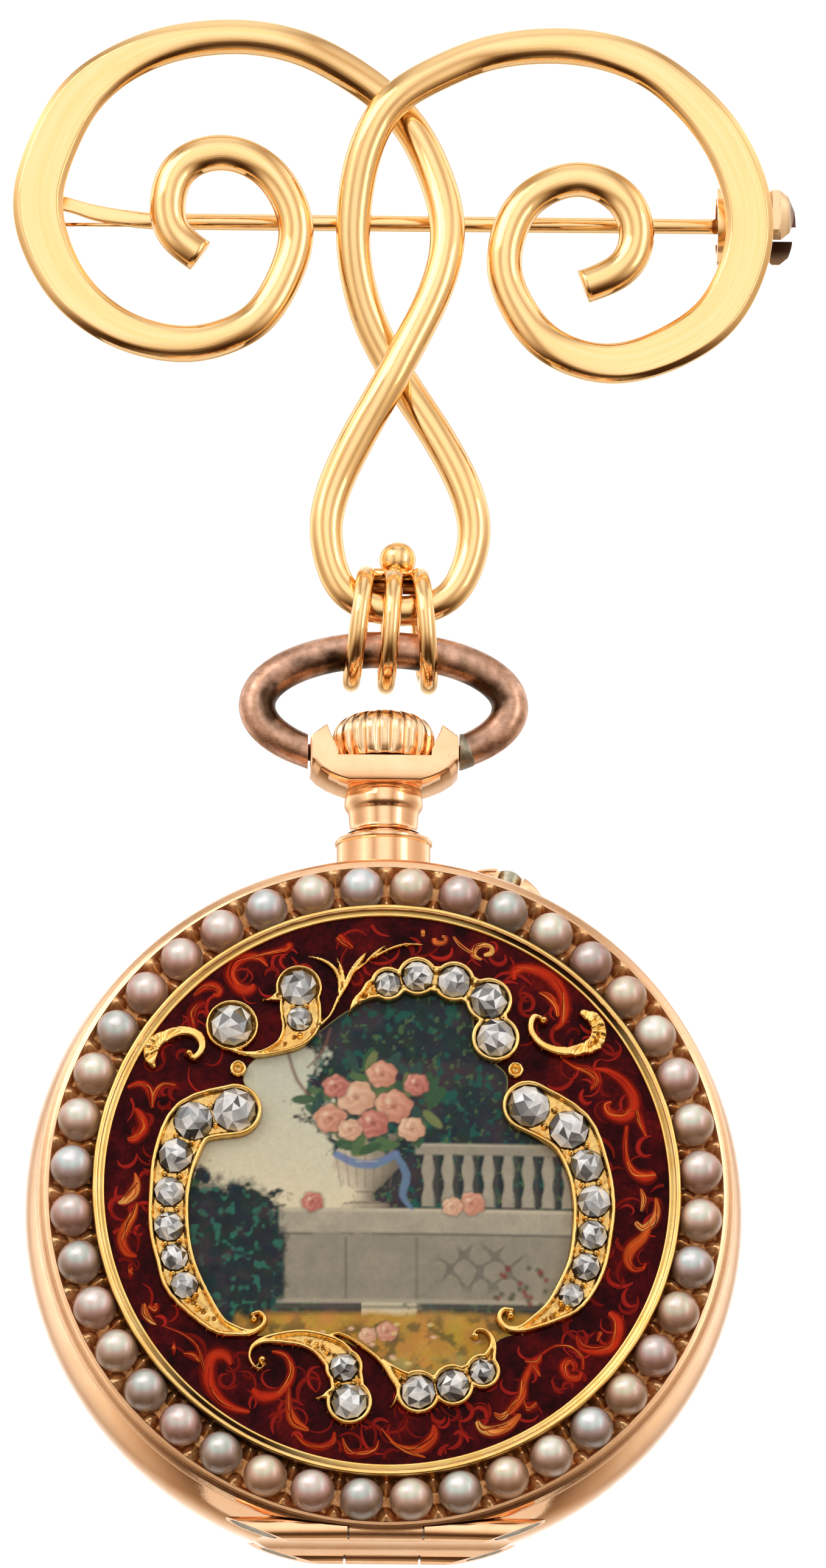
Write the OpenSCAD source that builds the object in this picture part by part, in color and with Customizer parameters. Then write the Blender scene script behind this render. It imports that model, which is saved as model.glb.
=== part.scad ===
// A lady's pendant watch hanging from a scrolled wire brooch.
// Millimetres. The origin is the middle of the brooch's pin, +Z is up, +X is to the right of someone
// who looks at the decorated back cover, and that cover faces -Y.

/* [Brooch] */
// Thickness of the round brooch wire
wire_d = 1.25; // [1.1:0.05:1.3]
// Distance from the pin stem back to the plane of the brooch wire and the watch
hang_depth = 2.6; // [2.5:0.1:3]
// Diameter of the pin stem at its root
pin_root_d = 0.68; // [0.6:0.02:0.76]
// Diameter of the pin stem at its tip
pin_tip_d = 0.6; // [0.5:0.02:0.66]

/* [Suspension] */
// Thickness of the wire of the three link rings
ring_wire_d = 0.72; // [0.66:0.02:0.78]
// Diameter of the ball that joins the three rings
ball_d = 1.4; // [1.2:0.1:1.6]
// Thickness of the bow
bow_d = 1.44; // [1.3:0.02:1.5]
// Half the width of the bow, to the middle of its rod
bow_half_w = 4.95; // [4.8:0.05:5.2]

/* [Case] */
// Radius of the case at its middle
case_r = 14; // [13.9:0.05:14.1]
// Radius of the winding crown
crown_r = 2.03; // [1.9:0.01:2.1]
// Number of flutes on the crown
crown_flutes = 20; // [16:1:24]

/* [Back cover] */
// Radius of the circle that the pearls stand on
pearl_ring_r = 12.27; // [12.2:0.01:12.3]
// Number of pearls
pearl_count = 40; // [36:1:40]
// Diameter of a pearl
pearl_d = 1.7; // [1.5:0.05:1.75]
// Radius of the enamel plate
enamel_r = 11; // [10.95:0.01:11]
// How far the middle of the enamel stands above its edge
enamel_rise = 0.5; // [0.3:0.05:0.6]
// Height of the gold settings above the enamel
setting_h = 0.42; // [0.35:0.01:0.5]
// Width of gold round each stone
setting_rim = 0.28; // [0.22:0.01:0.3]

/* [Dial side] */
// Radius of the crystal where it shows
crystal_r = 11.7; // [11.5:0.05:11.75]
// Height of the crystal's dome
crystal_rise = 0.9; // [0.7:0.05:1]

/* [Hidden] */
$fn = 96;
gap = 0.03;
run_gap = 0.05;
clear_gap = 0.08;
over = 0.1;

gold = "#e3b85c";
rose_gold = "#e2a888";
copper_gold = "#b98a78";
steel = "#8d8f83";
pearl_white = "#d9d0c8";
red_enamel = "#6d0f18";
garden_green = "#4c5a55";
stone_white = "#e6e9ec";
dial_white = "#f4f2ec";

// The brooch wire, from the inner end of the left scroll to the inner end of the right one.
// Columns: x, z, width across the face, lift towards the front.
wire_rows = [
    [-7.2, -2.15, 1.35, 0], [-8.45, -0.95, 1.4, 0], [-8.15, 1.35, 1.45, 0], [-6.3, 2.15, 1.45, 0],
    [-4.35, 1.2, 1.4, 0], [-3.4, -1.25, 1.4, 0], [-4.6, -4.3, 1.4, 0], [-6.3, -5.45, 1.45, 0],
    [-8.2, -5.75, 1.5, 0], [-10.5, -5.1, 1.6, 0], [-12.35, -3.55, 1.75, 0], [-13.45, -1.25, 1.95, 0],
    [-13.5, 0.85, 1.95, 0], [-12.25, 3.85, 1.85, 0], [-10.65, 5.45, 1.65, 0], [-8.45, 6.5, 1.5, 0],
    [-5.8, 6.85, 1.4, 0], [-3.4, 6.5, 1.4, -0.1], [-1.4, 5.6, 1.4, -0.45], [0.35, 4.3, 1.35, -0.68],
    [1.65, 2.35, 1.4, -0.5], [2.5, -0.55, 1.4, 0], [2.15, -3.25, 1.35, 0.45], [0.55, -6.7, 1.35, 0.68],
    [-1.1, -9.7, 1.4, 0.3], [-2.05, -11.85, 1.35, 0], [-2.25, -13.7, 1.3, 0], [-1.5, -15.85, 1.2, 0],
    [0.6, -16.55, 1.2, 0], [2.65, -15.9, 1.2, 0], [3.55, -13.7, 1.3, 0], [3.3, -11.8, 1.35, 0],
    [2.2, -9.45, 1.35, -0.3], [0.55, -6.7, 1.35, -0.68], [-0.65, -4.3, 1.35, -0.45], [-1.2, -1.65, 1.35, 0],
    [-1.0, 1.1, 1.4, 0.4], [-0.4, 3.0, 1.35, 0.6], [0.4, 4.15, 1.35, 0.68], [1.75, 5.1, 1.4, 0.5],
    [4.15, 6.25, 1.4, 0.1], [6.9, 6.6, 1.45, 0], [9.3, 6.2, 1.55, 0], [11.25, 5.15, 1.6, 0],
    [13.3, 2.9, 1.75, 0], [14.35, 0.1, 1.85, 0], [14.1, -2.5, 1.85, 0], [12.6, -4.9, 1.8, 0],
    [9.35, -6.4, 1.65, 0], [6.55, -5.7, 1.5, 0], [5.0, -3.6, 1.4, 0], [4.75, -1.75, 1.4, 0],
    [5.6, 0.25, 1.4, 0], [7.6, 1.2, 1.4, 0], [9.4, 0.45, 1.45, 0], [10.0, -1.1, 1.4, 0],
    [9.45, -2.5, 1.4, 0], [7.85, -3.25, 1.35, 0]
];
wire_steps = 3;
wire_sides = 12;
wire_round_w = 1.45;
wire_flat_cut = 0.35;

// The cut stones, on the back cover seen from outside, from its centre. Columns: x, y, radius.
left_stones = [
    [-5.93, 3.03, 0.82], [-7.53, 2.61, 0.73], [-8.23, 1.22, 0.65], [-8.47, -0.23, 0.56],
    [-8.48, -1.63, 0.56], [-8.26, -2.85, 0.51], [-7.87, -3.97, 0.51]
];
right_stones = [
    [5.5, 3.28, 0.8], [7.08, 2.36, 0.75], [7.78, 0.95, 0.63], [8.05, -0.5, 0.61],
    [7.98, -1.83, 0.56], [7.74, -3.11, 0.53], [7.16, -4.25, 0.46]
];
plume_stones = [[-3.44, 8.0, 0.68], [-3.4, 6.73, 0.46]];
collet_stone = [-6.04, 6.46, 0.8];
top_stones = [
    [0.03, 8.17, 0.48], [1.18, 8.49, 0.58], [2.61, 8.29, 0.61], [3.97, 7.55, 0.7], [4.22, 6.01, 0.73]
];
foot_stones = [[-1.68, -7.23, 0.53], [-1.47, -8.59, 0.68]];
base_stones = [[1.21, -8.18, 0.65], [2.55, -7.9, 0.61], [3.71, -7.34, 0.48]];

// Ribbons of gold on the cover. Columns: x, y, half the width.
left_tail = [
    [-6.7, -5.45, 0.45], [-5.9, -5.8, 0.27], [-5.3, -5.87, 0.17], [-4.9, -5.65, 0.13], [-4.75, -5.35, 0.13],
    [-4.95, -5.07, 0.12], [-5.25, -5.15, 0.1]
];
right_tail = [
    [6.5, -4.9, 0.5], [5.7, -5.4, 0.31], [5.15, -5.65, 0.19], [4.65, -5.6, 0.16], [4.35, -5.25, 0.15],
    [4.5, -4.9, 0.14], [4.85, -4.9, 0.12]
];
top_tail = [[-1.5, 6.95, 0.04], [-1.25, 7.4, 0.18], [-0.8, 7.75, 0.31]];
top_band = [
    [-0.3, 8.05, 0.5], [1.15, 8.4, 0.55], [2.6, 8.25, 0.6], [3.75, 7.6, 0.62], [4.12, 6.8, 0.62],
    [4.2, 6.0, 0.6]
];
plume_hook = [
    [-3.44, 8.0, 0.6], [-3.4, 7.4, 0.82], [-3.36, 6.9, 0.84], [-3.38, 6.45, 0.75], [-3.65, 6.0, 0.55],
    [-4.15, 5.6, 0.3],
    [-4.9, 5.32, 0.16], [-5.6, 5.32, 0.12], [-6.2, 5.5, 0.08], [-6.6, 5.8, 0.05]
];
plume_spur = [[-4.2, 7.65, 0.25], [-4.55, 7.52, 0.1], [-4.85, 7.55, 0.03]];
plume_stem = [
    [-2.95, 6.2, 0.08], [-2.25, 6.85, 0.07], [-1.9, 7.6, 0.1], [-1.6, 8.1, 0.1], [-1.25, 8.7, 0.07],
    [-0.5, 9.3, 0.05]
];
plume_leaves = [
    [[-1.9, 7.7, 0.06], [-1.85, 8.25, 0.09], [-2.05, 8.8, 0.1], [-2.5, 9.15, 0.08], [-3.05, 9.35, 0.03]],
    [[-1.7, 8.05, 0.07], [-1.75, 8.65, 0.1], [-1.95, 9.3, 0.03]],
    [[-1.7, 8.0, 0.08], [-1.4, 8.65, 0.12], [-1.05, 9.15, 0.12], [-0.75, 9.55, 0.03]],
    [[-0.8, 9.1, 0.06], [-0.45, 9.45, 0.09], [-0.05, 9.8, 0.03]],
    [[-0.55, 9.25, 0.06], [0.05, 9.6, 0.07], [0.6, 9.8, 0.07], [1.15, 9.85, 0.05], [1.4, 9.85, 0.03]]
];
foot_ribbon = [
    [-4.7, -7.1, 0.05], [-4.95, -7.3, 0.07], [-5.2, -7.15, 0.09], [-5.35, -6.8, 0.1], [-5.2, -6.4, 0.14],
    [-4.7, -6.15, 0.2], [-4.0, -6.08, 0.3], [-3.3, -6.1, 0.39], [-2.65, -6.3, 0.49], [-2.05, -6.7, 0.65],
    [-1.68, -7.23, 0.68], [-1.55, -7.9, 0.7], [-1.47, -8.6, 0.6]
];
foot_spur = [[-2.2, -8.3, 0.25], [-2.5, -8.4, 0.1], [-2.8, -8.45, 0.03]];
base_tail = [
    [-2.6, -6.15, 0.09], [-1.85, -5.9, 0.09], [-0.9, -6.45, 0.11], [-0.2, -7.05, 0.13], [0.2, -7.65, 0.15],
    [0.4, -8.1, 0.1], [0.28, -8.6, 0.07], [0.1, -8.8, 0.03]
];
base_band = [
    [-0.15, -6.95, 0.1], [0.4, -7.5, 0.3], [1.21, -8.1, 0.6], [1.95, -8.0, 0.55], [2.55, -7.85, 0.6],
    [3.15, -7.55, 0.52], [3.71, -7.2, 0.45], [4.05, -6.6, 0.25], [4.1, -6.1, 0.15], [3.85, -5.75, 0.11],
    [3.5, -5.7, 0.09], [3.3, -5.95, 0.07]
];
acanthus_left = [
    [-7.75, 5.3, 0.12], [-7.5, 5.15, 0.16], [-7.2, 5.55, 0.18], [-7.35, 6.05, 0.22], [-7.9, 6.25, 0.22],
    [-8.5, 6.1, 0.26], [-9.05, 5.75, 0.32], [-9.2, 5.25, 0.3], [-9.1, 4.85, 0.15]
];
acanthus_right = [
    [6.0, 6.9, 0.1], [5.7, 6.9, 0.16], [5.6, 6.4, 0.16], [5.95, 5.85, 0.18], [6.65, 5.55, 0.21],
    [7.45, 5.6, 0.26], [8.1, 5.9, 0.36], [8.25, 6.45, 0.33], [8.05, 6.9, 0.3], [7.65, 7.1, 0.19]
];
accent_dots = [[-5.8, 4.72, 0.34], [5.0, 4.75, 0.33], [-7.72, 5.32, 0.2], [6.1, 6.77, 0.2]];
curl_dots = [[-5.18, -5.35, 0.14], [4.8, -5.12, 0.15], [-4.85, -6.95, 0.2], [3.46, -5.97, 0.14]];

// The edge of the painted miniature, which runs under the settings. Columns: x, y.
miniature_rows = [
    [-5.2, 5.1], [-4.1, 5.5], [-2.9, 6.1], [-1.6, 7.1], [-0.4, 7.7], [1.4, 8], [2.5, 7.8], [3.3, 7.1],
    [3.4, 6.1], [3.8, 5.4], [4.6, 4.7], [4.7, 4.1], [4.6, 3.4], [4.8, 2.8], [5.3, 2.4], [6, 2.2],
    [6.8, 1.7], [7.3, 0.8], [7.5, -0.7], [7.4, -2], [7.1, -3.2], [6.4, -4.6], [5.5, -5.6], [4.4, -6],
    [3.8, -6.7],
    [2.7, -7.3], [1.3, -7.6], [0.3, -7.2], [-0.6, -6.7], [-1.8, -6.1], [-3, -5.8], [-4.3, -5.9],
    [-5.7, -5.9], [-6.7, -5.3], [-7.3, -4.3], [-7.7, -3.1], [-7.95, -1.7], [-7.9, 0.3], [-7.6, 1.3],
    [-6.9, 1.95], [-6, 2.1], [-5.3, 2.4], [-5, 3], [-5.2, 3.7], [-5.6, 4.3]
];

hang_y = -hang_depth;
case_z = -40.9;
hinge_y = -13.3;
hinge_front = 2.6;
hinge_r = 0.48;
hinge_pin_r = 0.33;
bezel_pin_r = 0.2;
knuckle_half = 1.42;
knuckle_end = knuckle_half + clear_gap;
hinge_half = 6.2;
hinge_trim_r = 14.3;
bezel_hinge_y = -13.15;
bezel_hinge_front = -1.98;
bezel_hinge_r = 0.4;
bezel_trim_r = 13.78;
scoop_y = -19.1;
scoop_r = 6;

band_front = 2.45;
band_rear = -1.9;
band_bore_r = 12.2;
band_arc = 6.4;

cover_r = 13.6;
cover_seam = band_front + 0.1;
cover_floor_low = 2.75;
cover_floor = 2.95;
cover_lip_r = 13.15;
cover_lip_top = 3.25;
cuvette_r = 12.9;
rim_in = 11.05;
rim_out = 11.38;
enamel_low = cover_floor + gap;
enamel_edge = 3.78;
rim_top = 4.0;
dome_r = (enamel_r * enamel_r + enamel_rise * enamel_rise) / (2 * enamel_rise);
dome_centre = enamel_edge + enamel_rise - dome_r;
pearl_low = cover_floor + gap;
pearl_mid = 3.33;

pendant_r = 1.85;
flange_r = 1.9;
neck_r = 1.25;
mould_r = 1.5;
pendant_low = case_z + 13.1;
flange_low = -26.16;
flange_top = -25.9;
neck_low = -25.36;
neck_top = -24.8;
mould_z = -24.22;
yoke_low = -24;
slot_floor = -22.85;
ear_z = -22.28;
ear_top = -21.6;
yoke_half_w = 2.89;
slot_half_w = 2.12;
yoke_depth = 1.9;
yoke_rise = 1.45;
stem_r = 0.5;
ear_pin_r = 0.33;
crown_low = -22.72;
crown_top = -20.8;
crown_edge_top = -21.75;

bow_mid_z = -20.4;
bow_half_h = 2.3;
bow_end_x = 3.2;
bow_sides = 14;
bow_rings = 40;

ring_mid_z = -17.33;
ring_r = 2.16;
// Columns: x of the ring's centre, z shift, lean of its top to the right in degrees.
ring_rows = [[-0.98, 0.08, 7.5], [0.25, 0, 4], [1.58, 0, -5]];
ball_z = -14.45;
ball_x = 0.55;

pin_hinge_x = -13.35;
pin_tip_x = 15;
pin_leaf_x = -9.5;
catch_x = 13.2;
catch_len = 2;
catch_r = 1.55;
catch_slot = 0.9;

set_angle = 20;
set_pin_r = 0.46;
guard_notch = 0.56;

function lerp(a, b, t) = a + (b - a) * t;
function smooth_point(p, i, t) =
    let (n = len(p), a = p[max(i - 1, 0)], b = p[i], c = p[min(i + 1, n - 1)], d = p[min(i + 2, n - 1)])
    0.5 * (2 * b + (c - a) * t + (2 * a - 5 * b + 4 * c - d) * t * t + (3 * b - a - 3 * c + d) * t * t * t);
function smooth_rows(p, steps) = [
    for (i = [0 : len(p) - 2], s = [0 : steps - 1]) smooth_point(p, i, s / steps),
    p[len(p) - 1]
];
function loop_point(p, i, t) =
    let (n = len(p), a = p[(i + n - 1) % n], b = p[i], c = p[(i + 1) % n], d = p[(i + 2) % n])
    0.5 * (2 * b + (c - a) * t + (2 * a - 5 * b + 4 * c - d) * t * t + (3 * b - a - 3 * c + d) * t * t * t);
function smooth_loop(p, steps) = [
    for (i = [0 : len(p) - 1], s = [0 : steps - 1]) loop_point(p, i, s / steps)
];
function row_direction(p, i) =
    let (v = p[min(i + 1, len(p) - 1)] - p[max(i - 1, 0)], flat = [v[0], v[1]])
    flat / norm(flat);
function side_point(p, i, side) =
    let (d = row_direction(p, i)) [p[i][0] - side * d[1] * p[i][2], p[i][1] + side * d[0] * p[i][2]];
function ribbon_outline(rows, steps) =
    let (p = smooth_rows(rows, steps), n = len(p))
    concat(
        [for (i = [0 : n - 1]) side_point(p, i, 1)],
        [for (i = [n - 1 : -1 : 0]) side_point(p, i, -1)]
    );
function with_rim(stones) = [for (s = stones) [s[0], s[1], s[2] + setting_rim]];
function dome_height(x, y) = dome_centre + sqrt(dome_r * dome_r - x * x - y * y);
function arc_points(cx, cy, r, a0, a1, n) = [
    for (i = [0 : n]) let (a = lerp(a0, a1, i / n)) [cx + r * cos(a), cy + r * sin(a)]
];

// A ring of the sweep: centre, half width across the face, half depth, flatness of the front.
function wire_section(c, across, half_w, half_d, flat) = [
    for (k = [0 : wire_sides - 1])
    let (
        a = 360 * (k + 0.5) / wire_sides,
        s = sin(a) * half_d,
        y = max(s, -half_d * (1 - wire_flat_cut * flat))
    )
    [c[0] + across[0] * half_w * cos(a), c[1] + y, c[2] + across[1] * half_w * cos(a)]
];
function wire_flatness(w) = min(1, max(0, (w - wire_round_w) / 0.5));

module tube_faces(rings, sides) {
    n = len(rings);
    points = [for (ring = rings, p = ring) p];
    side_faces = [
        for (i = [0 : n - 2], k = [0 : sides - 1])
        let (a = i * sides + k, b = i * sides + (k + 1) % sides)
        each [[a, b, b + sides], [a, b + sides, a + sides]]
    ];
    start_cap = [for (k = [1 : sides - 2]) [0, k + 1, k]];
    last = (n - 1) * sides;
    end_cap = [for (k = [1 : sides - 2]) [last, last + k, last + k + 1]];
    polyhedron(points, concat(side_faces, start_cap, end_cap), convexity = 8);
}

module on_case() {
    translate([0, hang_y, case_z]) rotate([90, 0, 0]) children();
}

module bar_x(x0, x1, y, z, r) {
    translate([x0, y, z]) rotate([0, 90, 0]) cylinder(h = x1 - x0, r = r);
}

module ribbon(rows, steps = 3) {
    polygon(ribbon_outline(rows, steps));
}

module discs(rows) {
    for (s = rows) translate([s[0], s[1]]) circle(r = s[2], $fn = 24);
}

module dome(h) {
    translate([0, 0, dome_centre]) sphere(r = dome_r + h, $fn = 256);
}

module raised(h) {
    intersection() {
        translate([0, 0, enamel_low]) linear_extrude(height = 2.2) offset(delta = 0.002) children();
        difference() {
            dome(h);
            dome(gap);
        }
    }
}

module seats(stones) {
    for (s = stones) translate([s[0], s[1], enamel_low]) cylinder(h = 3, r = s[2] + gap, $fn = 48);
}

module rose_cut(r) {
    girdle = 0.12;
    rise = 0.55 * r;
    low = [for (k = [0 : 11]) [r * cos(30 * k), r * sin(30 * k), 0]];
    high = [for (k = [0 : 11]) [r * cos(30 * k), r * sin(30 * k), girdle]];
    mid = [for (k = [0 : 5]) [0.68 * r * cos(60 * k), 0.68 * r * sin(60 * k), girdle + 0.65 * rise]];
    table = [for (k = [0 : 5]) [0.3 * r * cos(60 * k + 30), 0.3 * r * sin(60 * k + 30), girdle + rise]];
    faces = concat(
        [for (k = [1 : 10]) [0, k, k + 1]],
        [for (k = [0 : 11]) each [[k, 12 + k, 12 + (k + 1) % 12], [k, 12 + (k + 1) % 12, (k + 1) % 12]]],
        [for (k = [0 : 5])
            let (m = 24 + k, m1 = 24 + (k + 1) % 6, g = 12 + 2 * k, g2 = 12 + (2 * k + 2) % 12)
            each [[g, m, g + 1], [g + 1, m, m1], [g + 1, m1, g2]]],
        [for (k = [0 : 5]) let (m = 24 + k, m1 = 24 + (k + 1) % 6, t = 30 + k, t0 = 30 + (k + 5) % 6)
            each [[m, t, m1], [m, t0, t]]],
        [for (k = [1 : 4]) [30, 30 + k + 1, 30 + k]]
    );
    polyhedron(concat(low, high, mid, table), faces);
}

module scroll_wire() color(gold) {
    rows = smooth_rows(wire_rows, wire_steps);
    rings = [
        for (i = [0 : len(rows) - 1])
        let (r = rows[i], d = row_direction(rows, i))
        wire_section([r[0], hang_y - r[3], r[1]], [-d[1], d[0]], r[2] / 2, wire_d / 2, wire_flatness(r[2]))
    ];
    tube_faces(rings, wire_sides);
}

// The soldered block behind the left scroll, whose two ears hold the root of the pin.
module pin_hinge() color(gold) {
    back_y = hang_y + wire_d / 2 + gap;
    difference() {
        union() {
            translate([pin_hinge_x - 0.75, back_y, -0.95]) cube([1.5, -0.7 - back_y, 2.5]);
            for (z = [-0.95, 1.15]) {
                translate([pin_hinge_x - 0.75, back_y, z]) cube([1.5, -back_y, 0.4]);
                translate([pin_hinge_x, 0, z]) cylinder(h = 0.4, r = 0.75);
            }
        }
        translate([pin_hinge_x, 0, -0.5]) cylinder(h = 1.6, r = 0.62);
    }
    translate([pin_hinge_x, 0, -0.7]) cylinder(h = 2, r = 0.2);
}

module pin_stem() color(gold) {
    leaf_root_x = pin_hinge_x + 0.35;
    union() {
        difference() {
            translate([pin_hinge_x, 0, -0.5]) cylinder(h = 1.6, r = 0.55);
            translate([pin_hinge_x, 0, -0.6]) cylinder(h = 1.8, r = 0.2 + run_gap);
        }
        translate([pin_leaf_x, 0, 0]) rotate([0, 90, 0])
            cylinder(h = pin_tip_x - 0.8 - pin_leaf_x, r1 = pin_root_d / 2, r2 = pin_tip_d / 2, $fn = 12);
        translate([pin_tip_x - 0.8, 0, 0]) rotate([0, 90, 0])
            cylinder(h = 0.8, r1 = pin_tip_d / 2, r2 = 0.06, $fn = 12);
        // The root: a sprung leaf that flares upwards to the barrel over a thin straight wire.
        translate([0, 0.16, 0]) rotate([90, 0, 0]) linear_extrude(height = 0.32) {
            polygon([
                [leaf_root_x, 0.4], [-12.5, 0.38], [-12, 0.24], [-11.4, 0.02], [-10.6, -0.13], [-9, -0.28],
                [-9, 0.28], [-9.3, 0.4], [-10.2, 0.48], [-11, 0.57], [-11.8, 0.75], [-12.5, 0.96],
                [leaf_root_x, 1.04]
            ]);
            polygon([[leaf_root_x, -0.24], [-9, -0.24], [-9, -0.08], [leaf_root_x, -0.08]]);
        }
    }
}

module catch_slot_cut(x0, x1, half) {
    translate([x0, 0, -half]) cube([x1 - x0, 3, 2 * half]);
}

module catch_shell() color(gold) {
    foot_y = hang_y + wire_d / 2 + gap;
    difference() {
        union() {
            bar_x(catch_x, catch_x + catch_len, 0, 0, catch_r);
            translate([catch_x + 0.3, foot_y, -0.7]) cube([catch_len - 0.6, -foot_y - 1, 1.4]);
        }
        bar_x(catch_x - over, catch_x + catch_len + over, 0, 0, catch_r - 0.43);
        catch_slot_cut(catch_x - over, catch_x + catch_len + over, catch_slot / 2);
    }
}

// The turning sleeve of the safety catch, with its domed head and thumb ridge.
module catch_roller() color(gold) {
    head_x = catch_x + catch_len + clear_gap;
    difference() {
        union() {
            translate([catch_x + 0.1, 0, 0]) rotate([0, 90, 0]) rotate_extrude() polygon([
                [0, 0], [catch_r - 0.43 - run_gap, 0], [catch_r - 0.43 - run_gap, head_x - catch_x - 0.1],
                [catch_r - 0.15, head_x - catch_x - 0.1], [catch_r - 0.05, head_x - catch_x],
                [catch_r - 0.05, head_x - catch_x + 0.3], [catch_r - 0.35, head_x - catch_x + 0.65],
                [0.6, head_x - catch_x + 0.9], [0, head_x - catch_x + 0.95]
            ]);
            translate([head_x + 0.05, -catch_r - 0.3, -0.6]) cube([0.25, 0.9, 1.5]);
        }
        bar_x(catch_x, head_x + 0.4, 0, 0, 0.6);
        catch_slot_cut(catch_x, head_x + 1.2, 0.4);
        rotate([245, 0, 0]) catch_slot_cut(head_x + 0.02, head_x + 1.2, 0.75);
    }
}

module link_rings() color(gold) {
    for (r = ring_rows) {
        translate([r[0], hang_y, ring_mid_z + r[1]]) rotate([0, r[2], 0]) rotate([0, 90, 0])
            rotate_extrude() translate([ring_r, 0]) circle(r = ring_wire_d / 2, $fn = 32);
    }
    translate([ball_x, hang_y, ball_z]) sphere(r = ball_d / 2, $fn = 48);
    bar_x(ring_rows[0][0] + 0.25, ring_rows[2][0] - 0.2, hang_y, ring_mid_z + ring_r + 0.1, 0.3);
}

// The bow thins towards its ends, which are cut square against the yoke's ears.
module bow() color(copper_gold) {
    end_turn = 180 - asin(bow_end_x / bow_half_w);
    cut_x = yoke_half_w + clear_gap;
    rings = [
        for (i = [0 : bow_rings])
        let (
            t = lerp(-end_turn, end_turn, i / bow_rings),
            r = bow_d / 2 * (1 - 0.1 * max(0, abs(t) - 95) / 45),
            c = [bow_half_w * sin(t), bow_mid_z + bow_half_h * cos(t)],
            along = [bow_half_w * cos(t), -bow_half_h * sin(t)],
            v = along / norm(along)
        )
        [
            for (k = [0 : bow_sides - 1])
            let (
                a = 360 * k / bow_sides,
                p = [c[0] - v[1] * cos(a) * r, hang_y + sin(a) * r, c[1] + v[0] * cos(a) * r],
                far = i == 0 || i == bow_rings ? (sign(t) * cut_x - p[0]) / v[0] : 0
            )
            p + far * [v[0], 0, v[1]]
        ]
    ];
    union() {
        tube_faces(rings, bow_sides);
        bar_x(2.35, bow_end_x + 0.4, hang_y, ear_z, ear_pin_r);
        bar_x(-bow_end_x - 0.4, -2.35, hang_y, ear_z, ear_pin_r);
    }
}

// Outline of the pendant from its base tube up to the moulding under the yoke, in half.
module pendant_profile() {
    polygon(concat(
        [[0, pendant_low], [pendant_r, pendant_low], [pendant_r, flange_low]],
        arc_points(flange_r - 0.14, flange_low + 0.16, 0.16, -60, 90, 6),
        [[flange_r - 0.3, flange_top]],
        arc_points(neck_r + 0.45, neck_low + 0.12, 0.45, -130, -180, 4),
        [[neck_r, neck_top]],
        arc_points(mould_r - 0.4, mould_z, 0.4, -70, 70, 8),
        [[mould_r - 0.25, yoke_low + 0.4], [0, yoke_low + 0.4]]
    ));
}

// Outline of the fork between the bow's ends, with the slot in which the crown turns.
module yoke_profile() {
    right = [
        [yoke_half_w, yoke_low], [yoke_half_w, -22.05],
        [slot_half_w + 0.2, ear_top], [slot_half_w + 0.1, ear_top],
        [slot_half_w + 0.03, -21.85], [slot_half_w - 0.12, -22.2],
        [slot_half_w - 0.28, -22.6], [slot_half_w - 0.3, slot_floor]
    ];
    n = len(right);
    polygon(concat(right, [for (i = [n - 1 : -1 : 0]) [-right[i][0], right[i][1]]]));
}

// The fork is a shallow bowl below, rounded over at its front and back.
module yoke() {
    bowl_r = yoke_half_w + 0.25;
    intersection() {
        translate([0, hang_y + 2.5, 0]) rotate([90, 0, 0]) linear_extrude(height = 5) yoke_profile();
        translate([0, hang_y, -22.9]) scale([1, 1, yoke_rise / yoke_depth]) bar_x(-4, 4, 0, 0, yoke_depth);
        translate([0, hang_y, 0]) rotate_extrude() polygon([
            [0, yoke_low], [mould_r - 0.05, yoke_low], [1.84, -23.87], [2.25, -23.68], [2.65, -23.42],
            [bowl_r - 0.15, -23.1], [bowl_r, -22.8], [bowl_r, -21], [0, -21]
        ]);
    }
}

module band_profile() {
    intersection() {
        translate([case_r - band_arc, 0]) circle(r = band_arc);
        translate([band_bore_r, band_rear]) square([3, band_front - band_rear]);
    }
}

module hinge_barrel(y, front, r, x0, x1, trim) {
    intersection() {
        bar_x(x0, x1, y, front, r);
        translate([0, 0, front - 1]) cylinder(h = 2, r = trim);
    }
}

module set_direction(r) {
    rotate([0, 0, -set_angle]) translate([0, r, 0]) rotate([-90, 0, 0]) children();
}

module pin_guard() {
    rotate([0, 0, -set_angle]) translate([0, 13.85, 0.15]) rotate([0, 90, 0])
        rotate_extrude() intersection() {
            translate([-1.35, 0]) circle(r = 2.2);
            translate([0, -2]) square([2, 4]);
        }
}

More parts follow.
